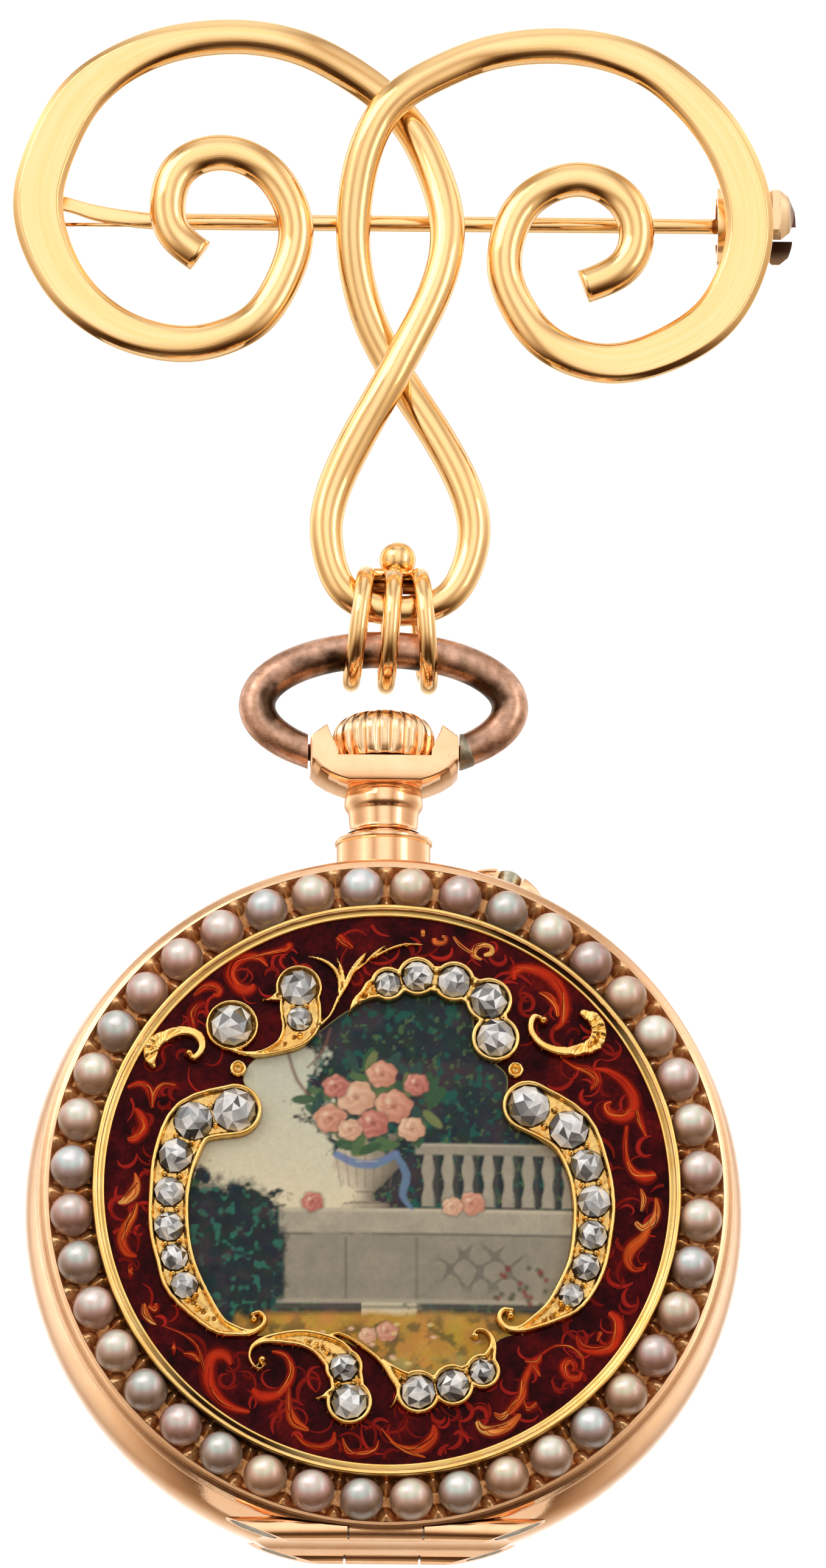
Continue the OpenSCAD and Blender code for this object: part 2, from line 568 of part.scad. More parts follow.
module case_body() color(rose_gold) {
    difference() {
        union() {
            on_case() difference() {
                union() {
                    rotate_extrude() band_profile();
                    pin_guard();
                }
                bar_x(-knuckle_end, knuckle_end, hinge_y, hinge_front, hinge_r + clear_gap);
                bar_x(-knuckle_end, knuckle_end, bezel_hinge_y, bezel_hinge_front, bezel_hinge_r + clear_gap);
                bar_x(-7, 7, scoop_y, 0, scoop_r);
            }
            on_case() for (side = [0, 1]) mirror([side, 0, 0]) {
                hinge_barrel(hinge_y, hinge_front, hinge_r, knuckle_end, hinge_half, hinge_trim_r);
                hinge_barrel(bezel_hinge_y, bezel_hinge_front, bezel_hinge_r, knuckle_end, hinge_half,
                    bezel_trim_r);
            }
            translate([0, hang_y, 0]) rotate_extrude() pendant_profile();
            yoke();
        }
        on_case() bar_x(-7, 7, hinge_y, hinge_front, hinge_pin_r + gap);
        on_case() bar_x(-7, 7, bezel_hinge_y, bezel_hinge_front, bezel_pin_r + gap);
        translate([0, hang_y, pendant_low - 1]) cylinder(h = 8, r = stem_r + run_gap);
        bar_x(2.3, 4, hang_y, ear_z, ear_pin_r + run_gap);
        bar_x(-4, -2.3, hang_y, ear_z, ear_pin_r + run_gap);
        on_case() set_direction(11.5) cylinder(h = 4, r = set_pin_r + run_gap);
        on_case() rotate([0, 0, -set_angle]) translate([-guard_notch, case_r - 0.1, 0])
            cube([2 * guard_notch, 1, 3]);
    }
}

module cover_hinge_pin() color(steel) {
    on_case() hinge_barrel(hinge_y, hinge_front, hinge_pin_r, -hinge_half, hinge_half, hinge_trim_r);
}

module bezel_hinge_pin() color(steel) {
    on_case()
        hinge_barrel(bezel_hinge_y, bezel_hinge_front, bezel_pin_r, -hinge_half, hinge_half, bezel_trim_r);
}

// The sealed works, plain, with the arbor that carries the hands.
module movement() color(gold) {
    on_case() {
        translate([0, 0, -1.3]) cylinder(h = 3.5, r = band_bore_r - clear_gap);
        translate([0, 0, -2.45]) cylinder(h = 1.3, r = 0.3);
    }
}

module dial() color(dial_white) {
    on_case() difference() {
        translate([0, 0, -1.73]) cylinder(h = 0.4, r = band_bore_r - clear_gap);
        translate([0, 0, -2]) cylinder(h = 1, r = 0.45);
    }
}

// The plain inner lid that lies under the decorated cover.
module cuvette() color(gold) {
    on_case() difference() {
        translate([0, 0, band_front + gap]) cylinder(h = 0.2, r = cuvette_r);
        bar_x(-7, 7, hinge_y, hinge_front, hinge_r + clear_gap);
    }
}

module crown() color(rose_gold) {
    foot_r = crown_r - 0.45;
    flute_r = 0.17;
    lean = atan2(crown_r - foot_r, crown_edge_top - crown_low - 0.12);
    translate([0, hang_y, 0]) {
        difference() {
            rotate_extrude() polygon(concat(
                [[0, crown_low], [foot_r - 0.08, crown_low], [foot_r, crown_low + 0.1]],
                [[foot_r + 0.2, crown_low + 0.42], [crown_r - 0.06, crown_edge_top - 0.24]],
                [[crown_r, crown_edge_top]],
                [for (a = [10 : 10 : 80])
                    [crown_r * (0.45 + 0.55 * cos(a)), lerp(crown_edge_top, crown_top, sin(a))]],
                [[0, crown_top]]
            ));
            for (k = [0 : crown_flutes - 1]) rotate([0, 0, 360 * (k + 0.5) / crown_flutes]) {
                translate([crown_r + 0.07, 0, crown_edge_top - 0.1])
                    cylinder(h = 1.2, r = flute_r, $fn = 24);
                translate([foot_r + 0.05, 0, crown_low - 0.05]) rotate([0, lean, 0])
                    cylinder(h = 1.15, r = flute_r, $fn = 24);
            }
        }
        translate([0, 0, pendant_low - 0.4]) cylinder(h = crown_low - pendant_low + 0.5, r = stem_r);
    }
}

module set_pin() color(steel) {
    on_case() set_direction(0) {
        translate([0, 0, 12.6]) cylinder(h = 1.8, r = set_pin_r);
        intersection() {
            translate([0, 0, 14.2]) cylinder(h = 0.6, r = set_pin_r);
            translate([0, 0, 14]) sphere(r = 0.74);
        }
    }
}

module cover_profile() {
    polygon(concat(
        [[0, cover_floor_low], [cuvette_r + 0.1, cover_floor_low]],
        [[cuvette_r + 0.1, cover_seam], [cover_r - 0.03, cover_seam]],
        arc_points(cover_r - 0.6, cover_seam + 0.12, 0.6, 0, 75, 8),
        [[cover_lip_r, cover_lip_top], [cover_lip_r, cover_floor], [rim_out, cover_floor]],
        [[rim_out, rim_top], [rim_out - 0.1, rim_top]],
        [[rim_in + 0.08, enamel_edge + 0.03], [rim_in, enamel_edge + 0.03]],
        [[rim_in, cover_floor], [0, cover_floor]]
    ));
}

module back_cover() color(gold) {
    on_case() difference() {
        union() {
            difference() {
                rotate_extrude() cover_profile();
                for (side = [0, 1]) mirror([side, 0, 0])
                    bar_x(knuckle_half + 0.01, 7, hinge_y, hinge_front, hinge_r + clear_gap);
            }
            bar_x(-knuckle_half, knuckle_half, hinge_y, hinge_front, hinge_r);
        }
        bar_x(-2, 2, hinge_y, hinge_front, hinge_pin_r + run_gap);
    }
}

module pearls() color(pearl_white) {
    on_case() for (k = [0 : pearl_count - 1]) rotate([0, 0, 360 * (k + 0.5) / pearl_count])
        translate([0, pearl_ring_r, pearl_mid]) difference() {
            sphere(r = pearl_d / 2, $fn = 32);
            translate([-1, -1, -2]) cube([2, 2, 2 + pearl_low - pearl_mid]);
        }
}

module enamel_plate() color(red_enamel) {
    on_case() difference() {
        intersection() {
            translate([0, 0, enamel_low]) cylinder(h = 2, r = enamel_r);
            dome(0);
        }
        translate([0, 0, enamel_low - over]) linear_extrude(height = 3)
            polygon(smooth_loop(miniature_rows, 2));
    }
}

module miniature_plate() color(garden_green) {
    on_case() intersection() {
        translate([0, 0, enamel_low]) linear_extrude(height = 2)
            polygon(smooth_loop([for (p = miniature_rows) p * (1 - gap / norm(p))], 2));
        dome(0);
    }
}

module stone_ribbon(stones, tail) {
    ribbon(concat(with_rim(stones), tail), 2);
    discs([with_rim(stones)[0]]);
}

module left_setting() color(gold) {
    on_case() difference() {
        raised(setting_h) union() {
            stone_ribbon(left_stones, left_tail);
            discs([curl_dots[0]]);
        }
        seats(left_stones);
    }
}

module right_setting() color(gold) {
    on_case() difference() {
        raised(setting_h) union() {
            stone_ribbon(right_stones, right_tail);
            discs([curl_dots[1]]);
        }
        seats(right_stones);
    }
}

module top_setting() color(gold) {
    on_case() difference() {
        raised(setting_h) union() {
            ribbon(concat(top_tail, top_band), 2);
            discs(with_rim(top_stones));
        }
        seats(top_stones);
    }
}

module plume_setting() color(gold) {
    on_case() difference() {
        raised(setting_h) union() {
            ribbon(plume_hook, 2);
            ribbon(plume_spur, 1);
            ribbon(plume_stem, 2);
            for (leaf = plume_leaves) ribbon(leaf, 2);
            discs(with_rim([plume_stones[0], collet_stone]));
        }
        seats(concat(plume_stones, [collet_stone]));
    }
}

module lower_setting() color(gold) {
    on_case() difference() {
        raised(setting_h) union() {
            ribbon(foot_ribbon, 2);
            ribbon(foot_spur, 1);
            ribbon(base_tail, 2);
            ribbon(base_band, 2);
            discs(with_rim(concat(foot_stones, base_stones)));
            discs([curl_dots[2], curl_dots[3]]);
        }
        seats(concat(foot_stones, base_stones));
    }
}

module gold_accents() color(gold) {
    on_case() raised(0.7 * setting_h) {
        ribbon(acanthus_left, 2);
        ribbon(acanthus_right, 2);
        discs(accent_dots);
    }
}

module diamonds() color(stone_white) {
    on_case() for (s = concat(
        left_stones, right_stones, plume_stones, [collet_stone], top_stones, foot_stones, base_stones
    ))
        translate([s[0], s[1], dome_height(s[0], s[1]) + 0.13]) rotate([0, 0, 40 * s[0]]) rose_cut(s[2]);
}

module bezel_profile() {
    seam = band_rear - run_gap;
    polygon(concat(
        [[band_bore_r + 0.3, seam]],
        [[13.25, seam]],
        arc_points(11.75, -2.05, 1.5, 0, -72, 8),
        [[crystal_r + 0.05, -3.45], [crystal_r + 0.05, -3.25]],
        [[crystal_r + 0.35, -3.25], [crystal_r + 0.35, -2.4]]
    ));
}

module bezel() color(rose_gold) {
    on_case() difference() {
        union() {
            difference() {
                rotate_extrude() bezel_profile();
                for (side = [0, 1]) mirror([side, 0, 0])
                    bar_x(knuckle_half + 0.01, 7, bezel_hinge_y, bezel_hinge_front,
                        bezel_hinge_r + clear_gap);
            }
            bar_x(-knuckle_half, knuckle_half, bezel_hinge_y, bezel_hinge_front, bezel_hinge_r);
        }
        bar_x(-2, 2, bezel_hinge_y, bezel_hinge_front, bezel_pin_r + run_gap);
    }
}

module crystal() color(stone_white) {
    edge = -3.22;
    glass_t = 0.4;
    top = edge - 0.15 - crystal_rise;
    outer_r = (crystal_r * crystal_r + crystal_rise * crystal_rise) / (2 * crystal_rise);
    on_case() difference() {
        union() {
            intersection() {
                translate([0, 0, top + outer_r]) sphere(r = outer_r, $fn = 256);
                translate([0, 0, top - 1]) cylinder(h = edge - top + 1, r = crystal_r);
            }
            translate([0, 0, edge]) cylinder(h = 0.4, r = crystal_r + 0.3);
        }
        translate([0, 0, top + outer_r]) sphere(r = outer_r - glass_t, $fn = 256);
        translate([0, 0, edge + 0.05]) cylinder(h = 1, r = crystal_r - 0.4);
    }
}

module hand(length, width, low, turn) {
    on_case() translate([0, 0, low]) rotate([0, 0, turn]) difference() {
        union() {
            cylinder(h = 0.12, r = 0.7);
            linear_extrude(height = 0.12) polygon([
                [-0.12, -1.6], [-0.15, 0.55 * length], [-width, 0.7 * length], [0, length],
                [width, 0.7 * length], [0.15, 0.55 * length], [0.12, -1.6]
            ]);
        }
        translate([0, 0, -over]) cylinder(h = 1, r = 0.3 + run_gap);
    }
}

module hour_hand() color(gold) {
    hand(6.2, 0.55, -2.02, 305);
}

module minute_hand() color(gold) {
    hand(9.4, 0.45, -2.3, 60);
}

scroll_wire();
pin_hinge();
catch_shell();
pin_stem();
catch_roller();
link_rings();
bow();
case_body();
cover_hinge_pin();
bezel_hinge_pin();
movement();
dial();
cuvette();
crown();
set_pin();
back_cover();
pearls();
enamel_plate();
miniature_plate();
left_setting();
right_setting();
top_setting();
plume_setting();
lower_setting();
gold_accents();
diamonds();
bezel();
crystal();
hour_hand();
minute_hand();
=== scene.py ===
"""Looks of a pendant watch on a scrolled wire brooch. Lengths are in millimetres until a mesh is made."""

import math
import bpy
import numpy as np
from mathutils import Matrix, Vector


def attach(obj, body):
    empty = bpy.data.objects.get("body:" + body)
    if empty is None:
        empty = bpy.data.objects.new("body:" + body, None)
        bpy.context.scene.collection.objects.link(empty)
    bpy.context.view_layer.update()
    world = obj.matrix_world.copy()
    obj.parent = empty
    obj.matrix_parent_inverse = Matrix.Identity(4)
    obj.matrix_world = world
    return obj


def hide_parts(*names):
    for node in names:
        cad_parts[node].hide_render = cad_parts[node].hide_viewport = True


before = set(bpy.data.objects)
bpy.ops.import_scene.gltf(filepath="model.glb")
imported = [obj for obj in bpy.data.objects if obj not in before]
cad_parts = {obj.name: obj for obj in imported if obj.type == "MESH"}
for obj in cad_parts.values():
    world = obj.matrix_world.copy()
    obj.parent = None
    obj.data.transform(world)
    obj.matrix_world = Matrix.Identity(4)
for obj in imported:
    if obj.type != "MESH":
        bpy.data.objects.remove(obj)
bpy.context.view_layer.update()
MM = 0.001
TAU = 2 * math.pi
# Depth of the plane that the hanging pieces lie in, and height of the middle of the case.
HANG_Y, CASE_Z = -2.6, -40.9
FRONT, UP = np.array([[0.0, -1.0, 0.0]]), np.array([[0.0, 0.0, 1.0]])


# Small maths
def points(*columns):
    return np.stack(columns, -1)


def clamped(v):
    """The same numbers, held between 0 and 1."""
    return np.clip(v, 0, 1)


def smooth(rows, steps, closed=False):
    """A smooth line through rows of numbers, with steps points for each span."""
    p = np.array(rows, float)
    n = len(p)
    spans = n if closed else n - 1
    at = (lambda i: p[i % n]) if closed else (lambda i: p[min(max(i, 0), n - 1)])
    out = []
    for i in range(spans):
        a, b, c, d = at(i - 1), at(i), at(i + 1), at(i + 2)
        for s in range(steps):
            t = s / steps
            out.append(0.5 * (2 * b + (c - a) * t + (2 * a - 5 * b + 4 * c - d) * t * t
                              + (3 * b - a - 3 * c + d) * t ** 3))
    if not closed:
        out.append(p[-1])
    return np.array(out)


def even(rows, step):
    """The same line with points at an even distance."""
    d = np.concatenate([[0], np.cumsum(np.hypot(*np.diff(rows[:, :2], axis=0).T))])
    s = np.linspace(0, d[-1], int(d[-1] / step) + 1)
    return np.stack([np.interp(s, d, c) for c in rows.T], -1)


def relaxed(rows, reach):
    """Rounds off the small kinks of an even line and keeps its two ends."""
    k = np.exp(-np.linspace(-2, 2, 2 * reach + 1) ** 2)
    pad = np.concatenate([2 * rows[0] - rows[reach:0:-1], rows, 2 * rows[-1] - rows[-2:-reach - 2:-1]])
    return np.stack([np.convolve(c, k / k.sum(), "valid") for c in pad.T], -1)


def unit(v):
    return v / np.maximum(np.linalg.norm(v, axis=-1, keepdims=True), 1e-12)


def tangents(p, closed=False):
    if closed:
        return unit(np.roll(p, -1, 0) - np.roll(p, 1, 0))
    t = np.empty_like(p)
    t[1:-1] = p[2:] - p[:-2]
    t[0], t[-1] = p[1] - p[0], p[-1] - p[-2]
    return unit(t)


def grid_faces(n, m, close_m=True, close_n=False):
    """Quads over n rows of m points."""
    i = np.arange(n if close_n else n - 1)[:, None]
    k = np.arange(m if close_m else m - 1)[None, :]
    a, b = i * m + k, i * m + (k + 1) % m
    c, d = ((i + 1) % n) * m + (k + 1) % m, ((i + 1) % n) * m + k
    return points(a, b, c, d).reshape(-1, 4)


def around(count):
    """Angles of places set evenly round a circle."""
    return np.linspace(0, TAU, count, endpoint=False)


def on_circle(a):
    return points(np.cos(a), np.sin(a))


def on_cover(p):
    """x right, y up, d towards the viewer, from the middle of the case, into the row frame."""
    p = np.asarray(p, float).reshape(-1, 3)
    return points(p[:, 0], HANG_Y - p[:, 2], CASE_Z + p[:, 1])


# Meshes
class Mesh:
    """Collects vertices, faces, colours and brushing directions of one piece."""

    def __init__(self):
        self.v, self.f, self.c, self.w, self.m, self.n = [], [], [], [], [], 0

    def add(self, v, f, colour=None, mat=0, flow=None):
        v = np.asarray(v, float).reshape(-1, 3)
        self.v.append(v)
        for face in (f.tolist() if hasattr(f, "tolist") else f):
            self.f.append([i + self.n for i in face])
            self.m.append(mat)
        self.c.append(np.broadcast_to(np.asarray((1, 1, 1) if colour is None else colour, float), v.shape))
        self.w.append(v if flow is None else np.broadcast_to(np.asarray(flow, float), v.shape))
        self.n += len(v)

    def make(self, name, body, mats, flat=False, replaces=()):
        v = np.concatenate(self.v) * MM
        me = bpy.data.meshes.new(name)
        me.from_pydata(v.tolist(), [], self.f)
        me.update()
        for m in mats:
            me.materials.append(m)
        me.polygons.foreach_set("material_index", self.m)
        me.polygons.foreach_set("use_smooth", [not flat] * len(self.f))
        col = me.color_attributes.new("Col", "FLOAT_COLOR", "POINT")
        c = np.concatenate(self.c)
        col.data.foreach_set("color", np.concatenate([c, np.ones((len(c), 1))], 1).ravel())
        flow = me.attributes.new("Flow", "FLOAT_VECTOR", "POINT")
        flow.data.foreach_set("vector", np.concatenate(self.w).ravel())
        me.validate()
        ob = bpy.data.objects.new(name, me)
        bpy.context.scene.collection.objects.link(ob)
        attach(ob, body)
        if replaces:
            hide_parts(*replaces)


def section_tube(mesh, centre, side, front, outline, colour=None, closed=False, mat=0):
    """A tube whose rings are outline points (n, m, 2) in the side and front directions."""
    n, m = outline.shape[:2]
    v = centre[:, None] + outline[..., :1] * side[:, None] + outline[..., 1:] * front[:, None]
    v = v.reshape(-1, 3)
    f = grid_faces(n, m, True, closed).tolist()
    run = np.concatenate([[0], np.cumsum(np.linalg.norm(np.diff(centre, axis=0), axis=1))])
    along = np.broadcast_to(0.03 * run[:, None, None], (n, m, 1))
    flow = np.concatenate([outline, along], -1).reshape(-1, 3)
    if not closed:
        v = np.concatenate([v, centre[:1], centre[-1:]])
        flow = np.concatenate([flow, flow[:1], flow[-1:]])
        f += [[n * m, (k + 1) % m, k] for k in range(m)]
        f += [[n * m + 1, (n - 1) * m + k, (n - 1) * m + (k + 1) % m] for k in range(m)]
    mesh.add(v, f, colour, mat, flow)


def tube(mesh, path, radius, sides, closed=False, colour=None, up=(0, 1, 0), mat=0):
    """A round tube along a path."""
    path = np.asarray(path, float)
    t = tangents(path, closed)
    side = unit(np.cross(t, up))
    front = unit(np.cross(side, t))
    ring = np.tile(radius * on_circle(around(sides)), (len(path), 1, 1))
    section_tube(mesh, path, side, front, ring, colour, closed, mat)


def turned(mesh, profile, turns, place, colour=None):
    """Turns (r, h) points about the local axis h and puts them through place."""
    pr = np.asarray(profile, float)
    a = around(turns)
    v = points(pr[:, :1] * np.cos(a), pr[:, :1] * np.sin(a), np.repeat(pr[:, 1:], turns, 1))
    mesh.add(place(v.reshape(-1, 3)), grid_faces(len(pr), turns), colour)


# Materials
BUMP_DEPTH = 0.00002


def material(name, **sockets):
    """A material with its shader's own sockets set; an underscore stands for a space."""
    m = bpy.data.materials.new(name)
    m.use_nodes = True
    b = m.node_tree.nodes["Principled BSDF"]
    for socket, value in sockets.items():
        b.inputs[socket.replace("_", " ")].default_value = value
    return m, m.node_tree, b


def node(nt, kind, **sockets):
    n = nt.nodes.new(kind)
    for k, v in sockets.items():
        if k in n.inputs:
            n.inputs[k].default_value = v
        else:
            setattr(n, k, v)
    return n


def own_place(nt, stretch=None):
    """Places in the frame of the piece, stretched if asked."""
    at = nt.nodes.new("ShaderNodeTexCoord").outputs["Object"]
    if stretch is None:
        return at
    mp = node(nt, "ShaderNodeMapping", Scale=stretch)
    nt.links.new(at, mp.inputs["Vector"])
    return mp.outputs["Vector"]


def noise(nt, scale, detail=3.0, rough=0.5, at=None):
    """A cloudy tone from 0 to 1 over the piece, or over other places that are given."""
    n = node(nt, "ShaderNodeTexNoise", Scale=scale, Detail=detail, Roughness=rough)
    nt.links.new(own_place(nt) if at is None else at, n.inputs["Vector"])
    return n.outputs["Fac"]


def ramp(nt, value, stops, low=0.0, high=1.0):
    """Colours by stops of a value from low to high; one number stands for a grey."""
    if (low, high) != (0.0, 1.0):
        span = node(nt, "ShaderNodeMapRange", **{"From Min": low, "From Max": high})
        nt.links.new(value, span.inputs["Value"])
        value = span.outputs[0]
    r = nt.nodes.new("ShaderNodeValToRGB")
    e = r.color_ramp.elements
    for i, (stop, tone) in enumerate(stops):
        at = (stop - low) / (high - low)
        el = e[i] if i < 2 else e.new(at)
        el.position = at
        el.color = (*tone, 1) if isinstance(tone, tuple) else (tone, tone, tone, 1)
    nt.links.new(value, r.inputs["Fac"])
    return r.outputs["Color"]


def bump(nt, bsdf, height, strength):
    b = node(nt, "ShaderNodeBump", Strength=strength, Distance=BUMP_DEPTH)
    nt.links.new(height, b.inputs["Height"])
    nt.links.new(b.outputs["Normal"], bsdf.inputs["Normal"])


def times(nt, a, b):
    """One colour multiplied by another."""
    mx = node(nt, "ShaderNodeMix", data_type="RGBA", blend_type="MULTIPLY")
    mx.inputs[0].default_value = 1.0
    nt.links.new(a, mx.inputs[6])
    nt.links.new(b, mx.inputs[7])
    return mx.outputs[2]


def mul_vertex_colour(nt, colour):
    """Multiplies a colour by the mesh's painted colours."""
    return times(nt, colour, node(nt, "ShaderNodeVertexColor", layer_name="Col").outputs["Color"])


def brushed(nt, scale):
    """Streaks along a piece, from the brushing direction kept in its mesh."""
    flow = node(nt, "ShaderNodeAttribute", attribute_name="Flow")
    return noise(nt, scale, 4, 0.6, flow.outputs["Vector"])


def gold(name, light, deep, rough, scratch, paint=False, grain=900, streaks=False):
    """Polished metal between two tones and two roughnesses, brushed along its length or finely scratched."""
    m, nt, b = material(name, Metallic=1.0)
    tone = brushed(nt, 5) if streaks else noise(nt, grain, 5, 0.6)
    col = ramp(nt, tone, [(0.32, deep), (0.62, light)])
    if paint:
        col = mul_vertex_colour(nt, col)
    nt.links.new(col, b.inputs["Base Color"])
    sheen = ramp(nt, noise(nt, grain * 2.2, 4, 0.65), [(0.3, rough[0]), (0.75, rough[1])])
    nt.links.new(sheen, b.inputs["Roughness"])
    marks = brushed(nt, 11) if streaks else noise(nt, 2600, 6, 0.7, own_place(nt, (0.35, 1.0, 2.4)))
    bump(nt, b, marks, scratch)
    return m


def painted(name, scale, detail, rough, stops, uneven=0.0, **sockets):
    """A material that takes its colour from the mesh, with a fine mottle."""
    m, nt, b = material(name, **sockets)
    mottle = ramp(nt, noise(nt, scale, detail, rough), stops)
    nt.links.new(mul_vertex_colour(nt, mottle), b.inputs["Base Color"])
    if uneven:
        bump(nt, b, noise(nt, 900, 3), uneven)
    return m


def plain(name, light, dark, scale=1500, detail=4, **sockets):
    """A material with faint clouds between two tones."""
    m, nt, b = material(name, **sockets)
    nt.links.new(ramp(nt, noise(nt, scale, detail), [(0.3, dark), (0.7, light)]), b.inputs["Base Color"])
    return m


def enamel_ground():
    """Near-black maroon glass with clouds of deep red under a clear top."""
    m, nt, b = material("enamel_ground", Roughness=0.16, Specular_IOR_Level=0.04)
    clouds = ramp(nt, noise(nt, 620, 7, 0.72), [(0.36, (0.012, 0.001, 0.002)), (0.5, (0.045, 0.002, 0.004)),
                                                (0.62, (0.10, 0.004, 0.005)), (0.74, (0.20, 0.010, 0.006))])
    grain = ramp(nt, noise(nt, 4200, 5, 0.75), [(0.3, (0.55, 0.5, 0.5)), (0.7, (1.25, 1.15, 1.1))])
    nt.links.new(times(nt, clouds, grain), b.inputs["Base Color"])
    bump(nt, b, noise(nt, 500, 2), 0.05)
    return m


def catch_gold():
    """Gold that darkens to brown inside the catch's hollow head, as painted shade."""
    m, nt, b = material("gold_catch", Metallic=0.8, Roughness=0.3)
    radius = node(nt, "ShaderNodeVectorMath", operation="LENGTH")
    nt.links.new(own_place(nt, (0, 1, 1)), radius.inputs[0])
    inner, outer = 0.0006, 0.0014
    # painted shade: brown deep inside the hollow head, gold towards its rim
    stops = [(inner, (0.16, 0.07, 0.04)), (0.00096, (0.22, 0.10, 0.06)), (0.00132, (0.98, 0.72, 0.42))]
    nt.links.new(ramp(nt, radius.outputs["Value"], stops, inner, outer), b.inputs["Base Color"])
    return m


# Metals. After the name: light tone, deep tone, roughness from and to, depth of the scratches.
YELLOW = gold("gold_yellow", (1.0, 0.66, 0.32), (0.98, 0.58, 0.24), (0.08, 0.2), 0.18)
WIRE_GOLD = gold("gold_wire", (1.0, 0.67, 0.33), (0.94, 0.61, 0.25), (0.05, 0.14), 0.3, streaks=True)
SETTING = gold("gold_settings", (1.0, 0.70, 0.26), (0.95, 0.56, 0.15), (0.14, 0.28), 0.4, paint=True)
BED_GOLD = gold("gold_pearl_bed", (1.0, 0.68, 0.36), (0.98, 0.56, 0.26), (0.3, 0.5), 0.4, paint=True)
ROSE = gold("gold_rose", (1.0, 0.645, 0.38), (0.98, 0.57, 0.31), (0.05, 0.12), 0.15)
SATIN_ROSE = gold("gold_rose_satin", (0.97, 0.62, 0.37), (0.93, 0.56, 0.32), (0.16, 0.26), 0.1, grain=2600)
LID_GOLD = gold("gold_inner_lid", (1.0, 0.67, 0.35), (0.99, 0.63, 0.31), (0.1, 0.18), 0.1, grain=2600)
CROWN = gold("gold_crown", (1.0, 0.73, 0.46), (0.98, 0.64, 0.36), (0.14, 0.24), 0.2, paint=True)
COPPER = gold("gold_copper", (0.76, 0.45, 0.32), (0.44, 0.25, 0.16), (0.22, 0.4), 0.5, paint=True, grain=2400)
STEEL = gold("steel_dull", (0.42, 0.38, 0.29), (0.2, 0.18, 0.13), (0.3, 0.5), 0.8, grain=1700)
PUSH_STEEL = gold("steel_push_piece", (0.62, 0.60, 0.46), (0.34, 0.33, 0.24), (0.3, 0.5), 0.8, grain=1700)
CATCH = catch_gold()
BLUED = plain("hand_blued", (0.05, 0.08, 0.2), (0.03, 0.05, 0.14), Roughness=0.22, Metallic=1.0)
# Glassy and painted materials. Painted ones hold scale, detail and roughness of their mottle.
PEARL = painted("pearl_lustre", 1300, 3, 0.5, [(0.3, (0.88, 0.86, 0.88)), (0.7, 1)],
                Roughness=0.28, Metallic=0.2, Coat_Weight=0.5, Coat_Roughness=0.1)
STONE = painted("diamond_cut", 2600, 2, 0.5, [(0.35, (0.72, 0.73, 0.75)), (0.65, 1)], Roughness=0.06, IOR=2.0)
FLAME = painted("enamel_flame", 5200, 5, 0.7, [(0.3, 0.86), (0.75, 1)], 0.08,
                Roughness=0.25, Specular_IOR_Level=0.03)
PAINTED = painted("enamel_painting", 5200, 5, 0.7, [(0.3, 0.86), (0.75, 1)], 0.08,
                  Roughness=0.22, Specular_IOR_Level=0.06)
ENAMEL_GROUND = enamel_ground()
INK = plain("dial_ink", (0.03, 0.03, 0.035), (0.015, 0.015, 0.02), Roughness=0.45)
DIAL = plain("dial_enamel", (0.93, 0.92, 0.88), (0.90, 0.89, 0.85), Roughness=0.15, Coat_Weight=0.5)
GLASS = plain("crystal_clear", (1, 1, 1), (0.97, 0.98, 0.98), 300, 2,
              Roughness=0.01, Transmission_Weight=1.0, IOR=1.15)

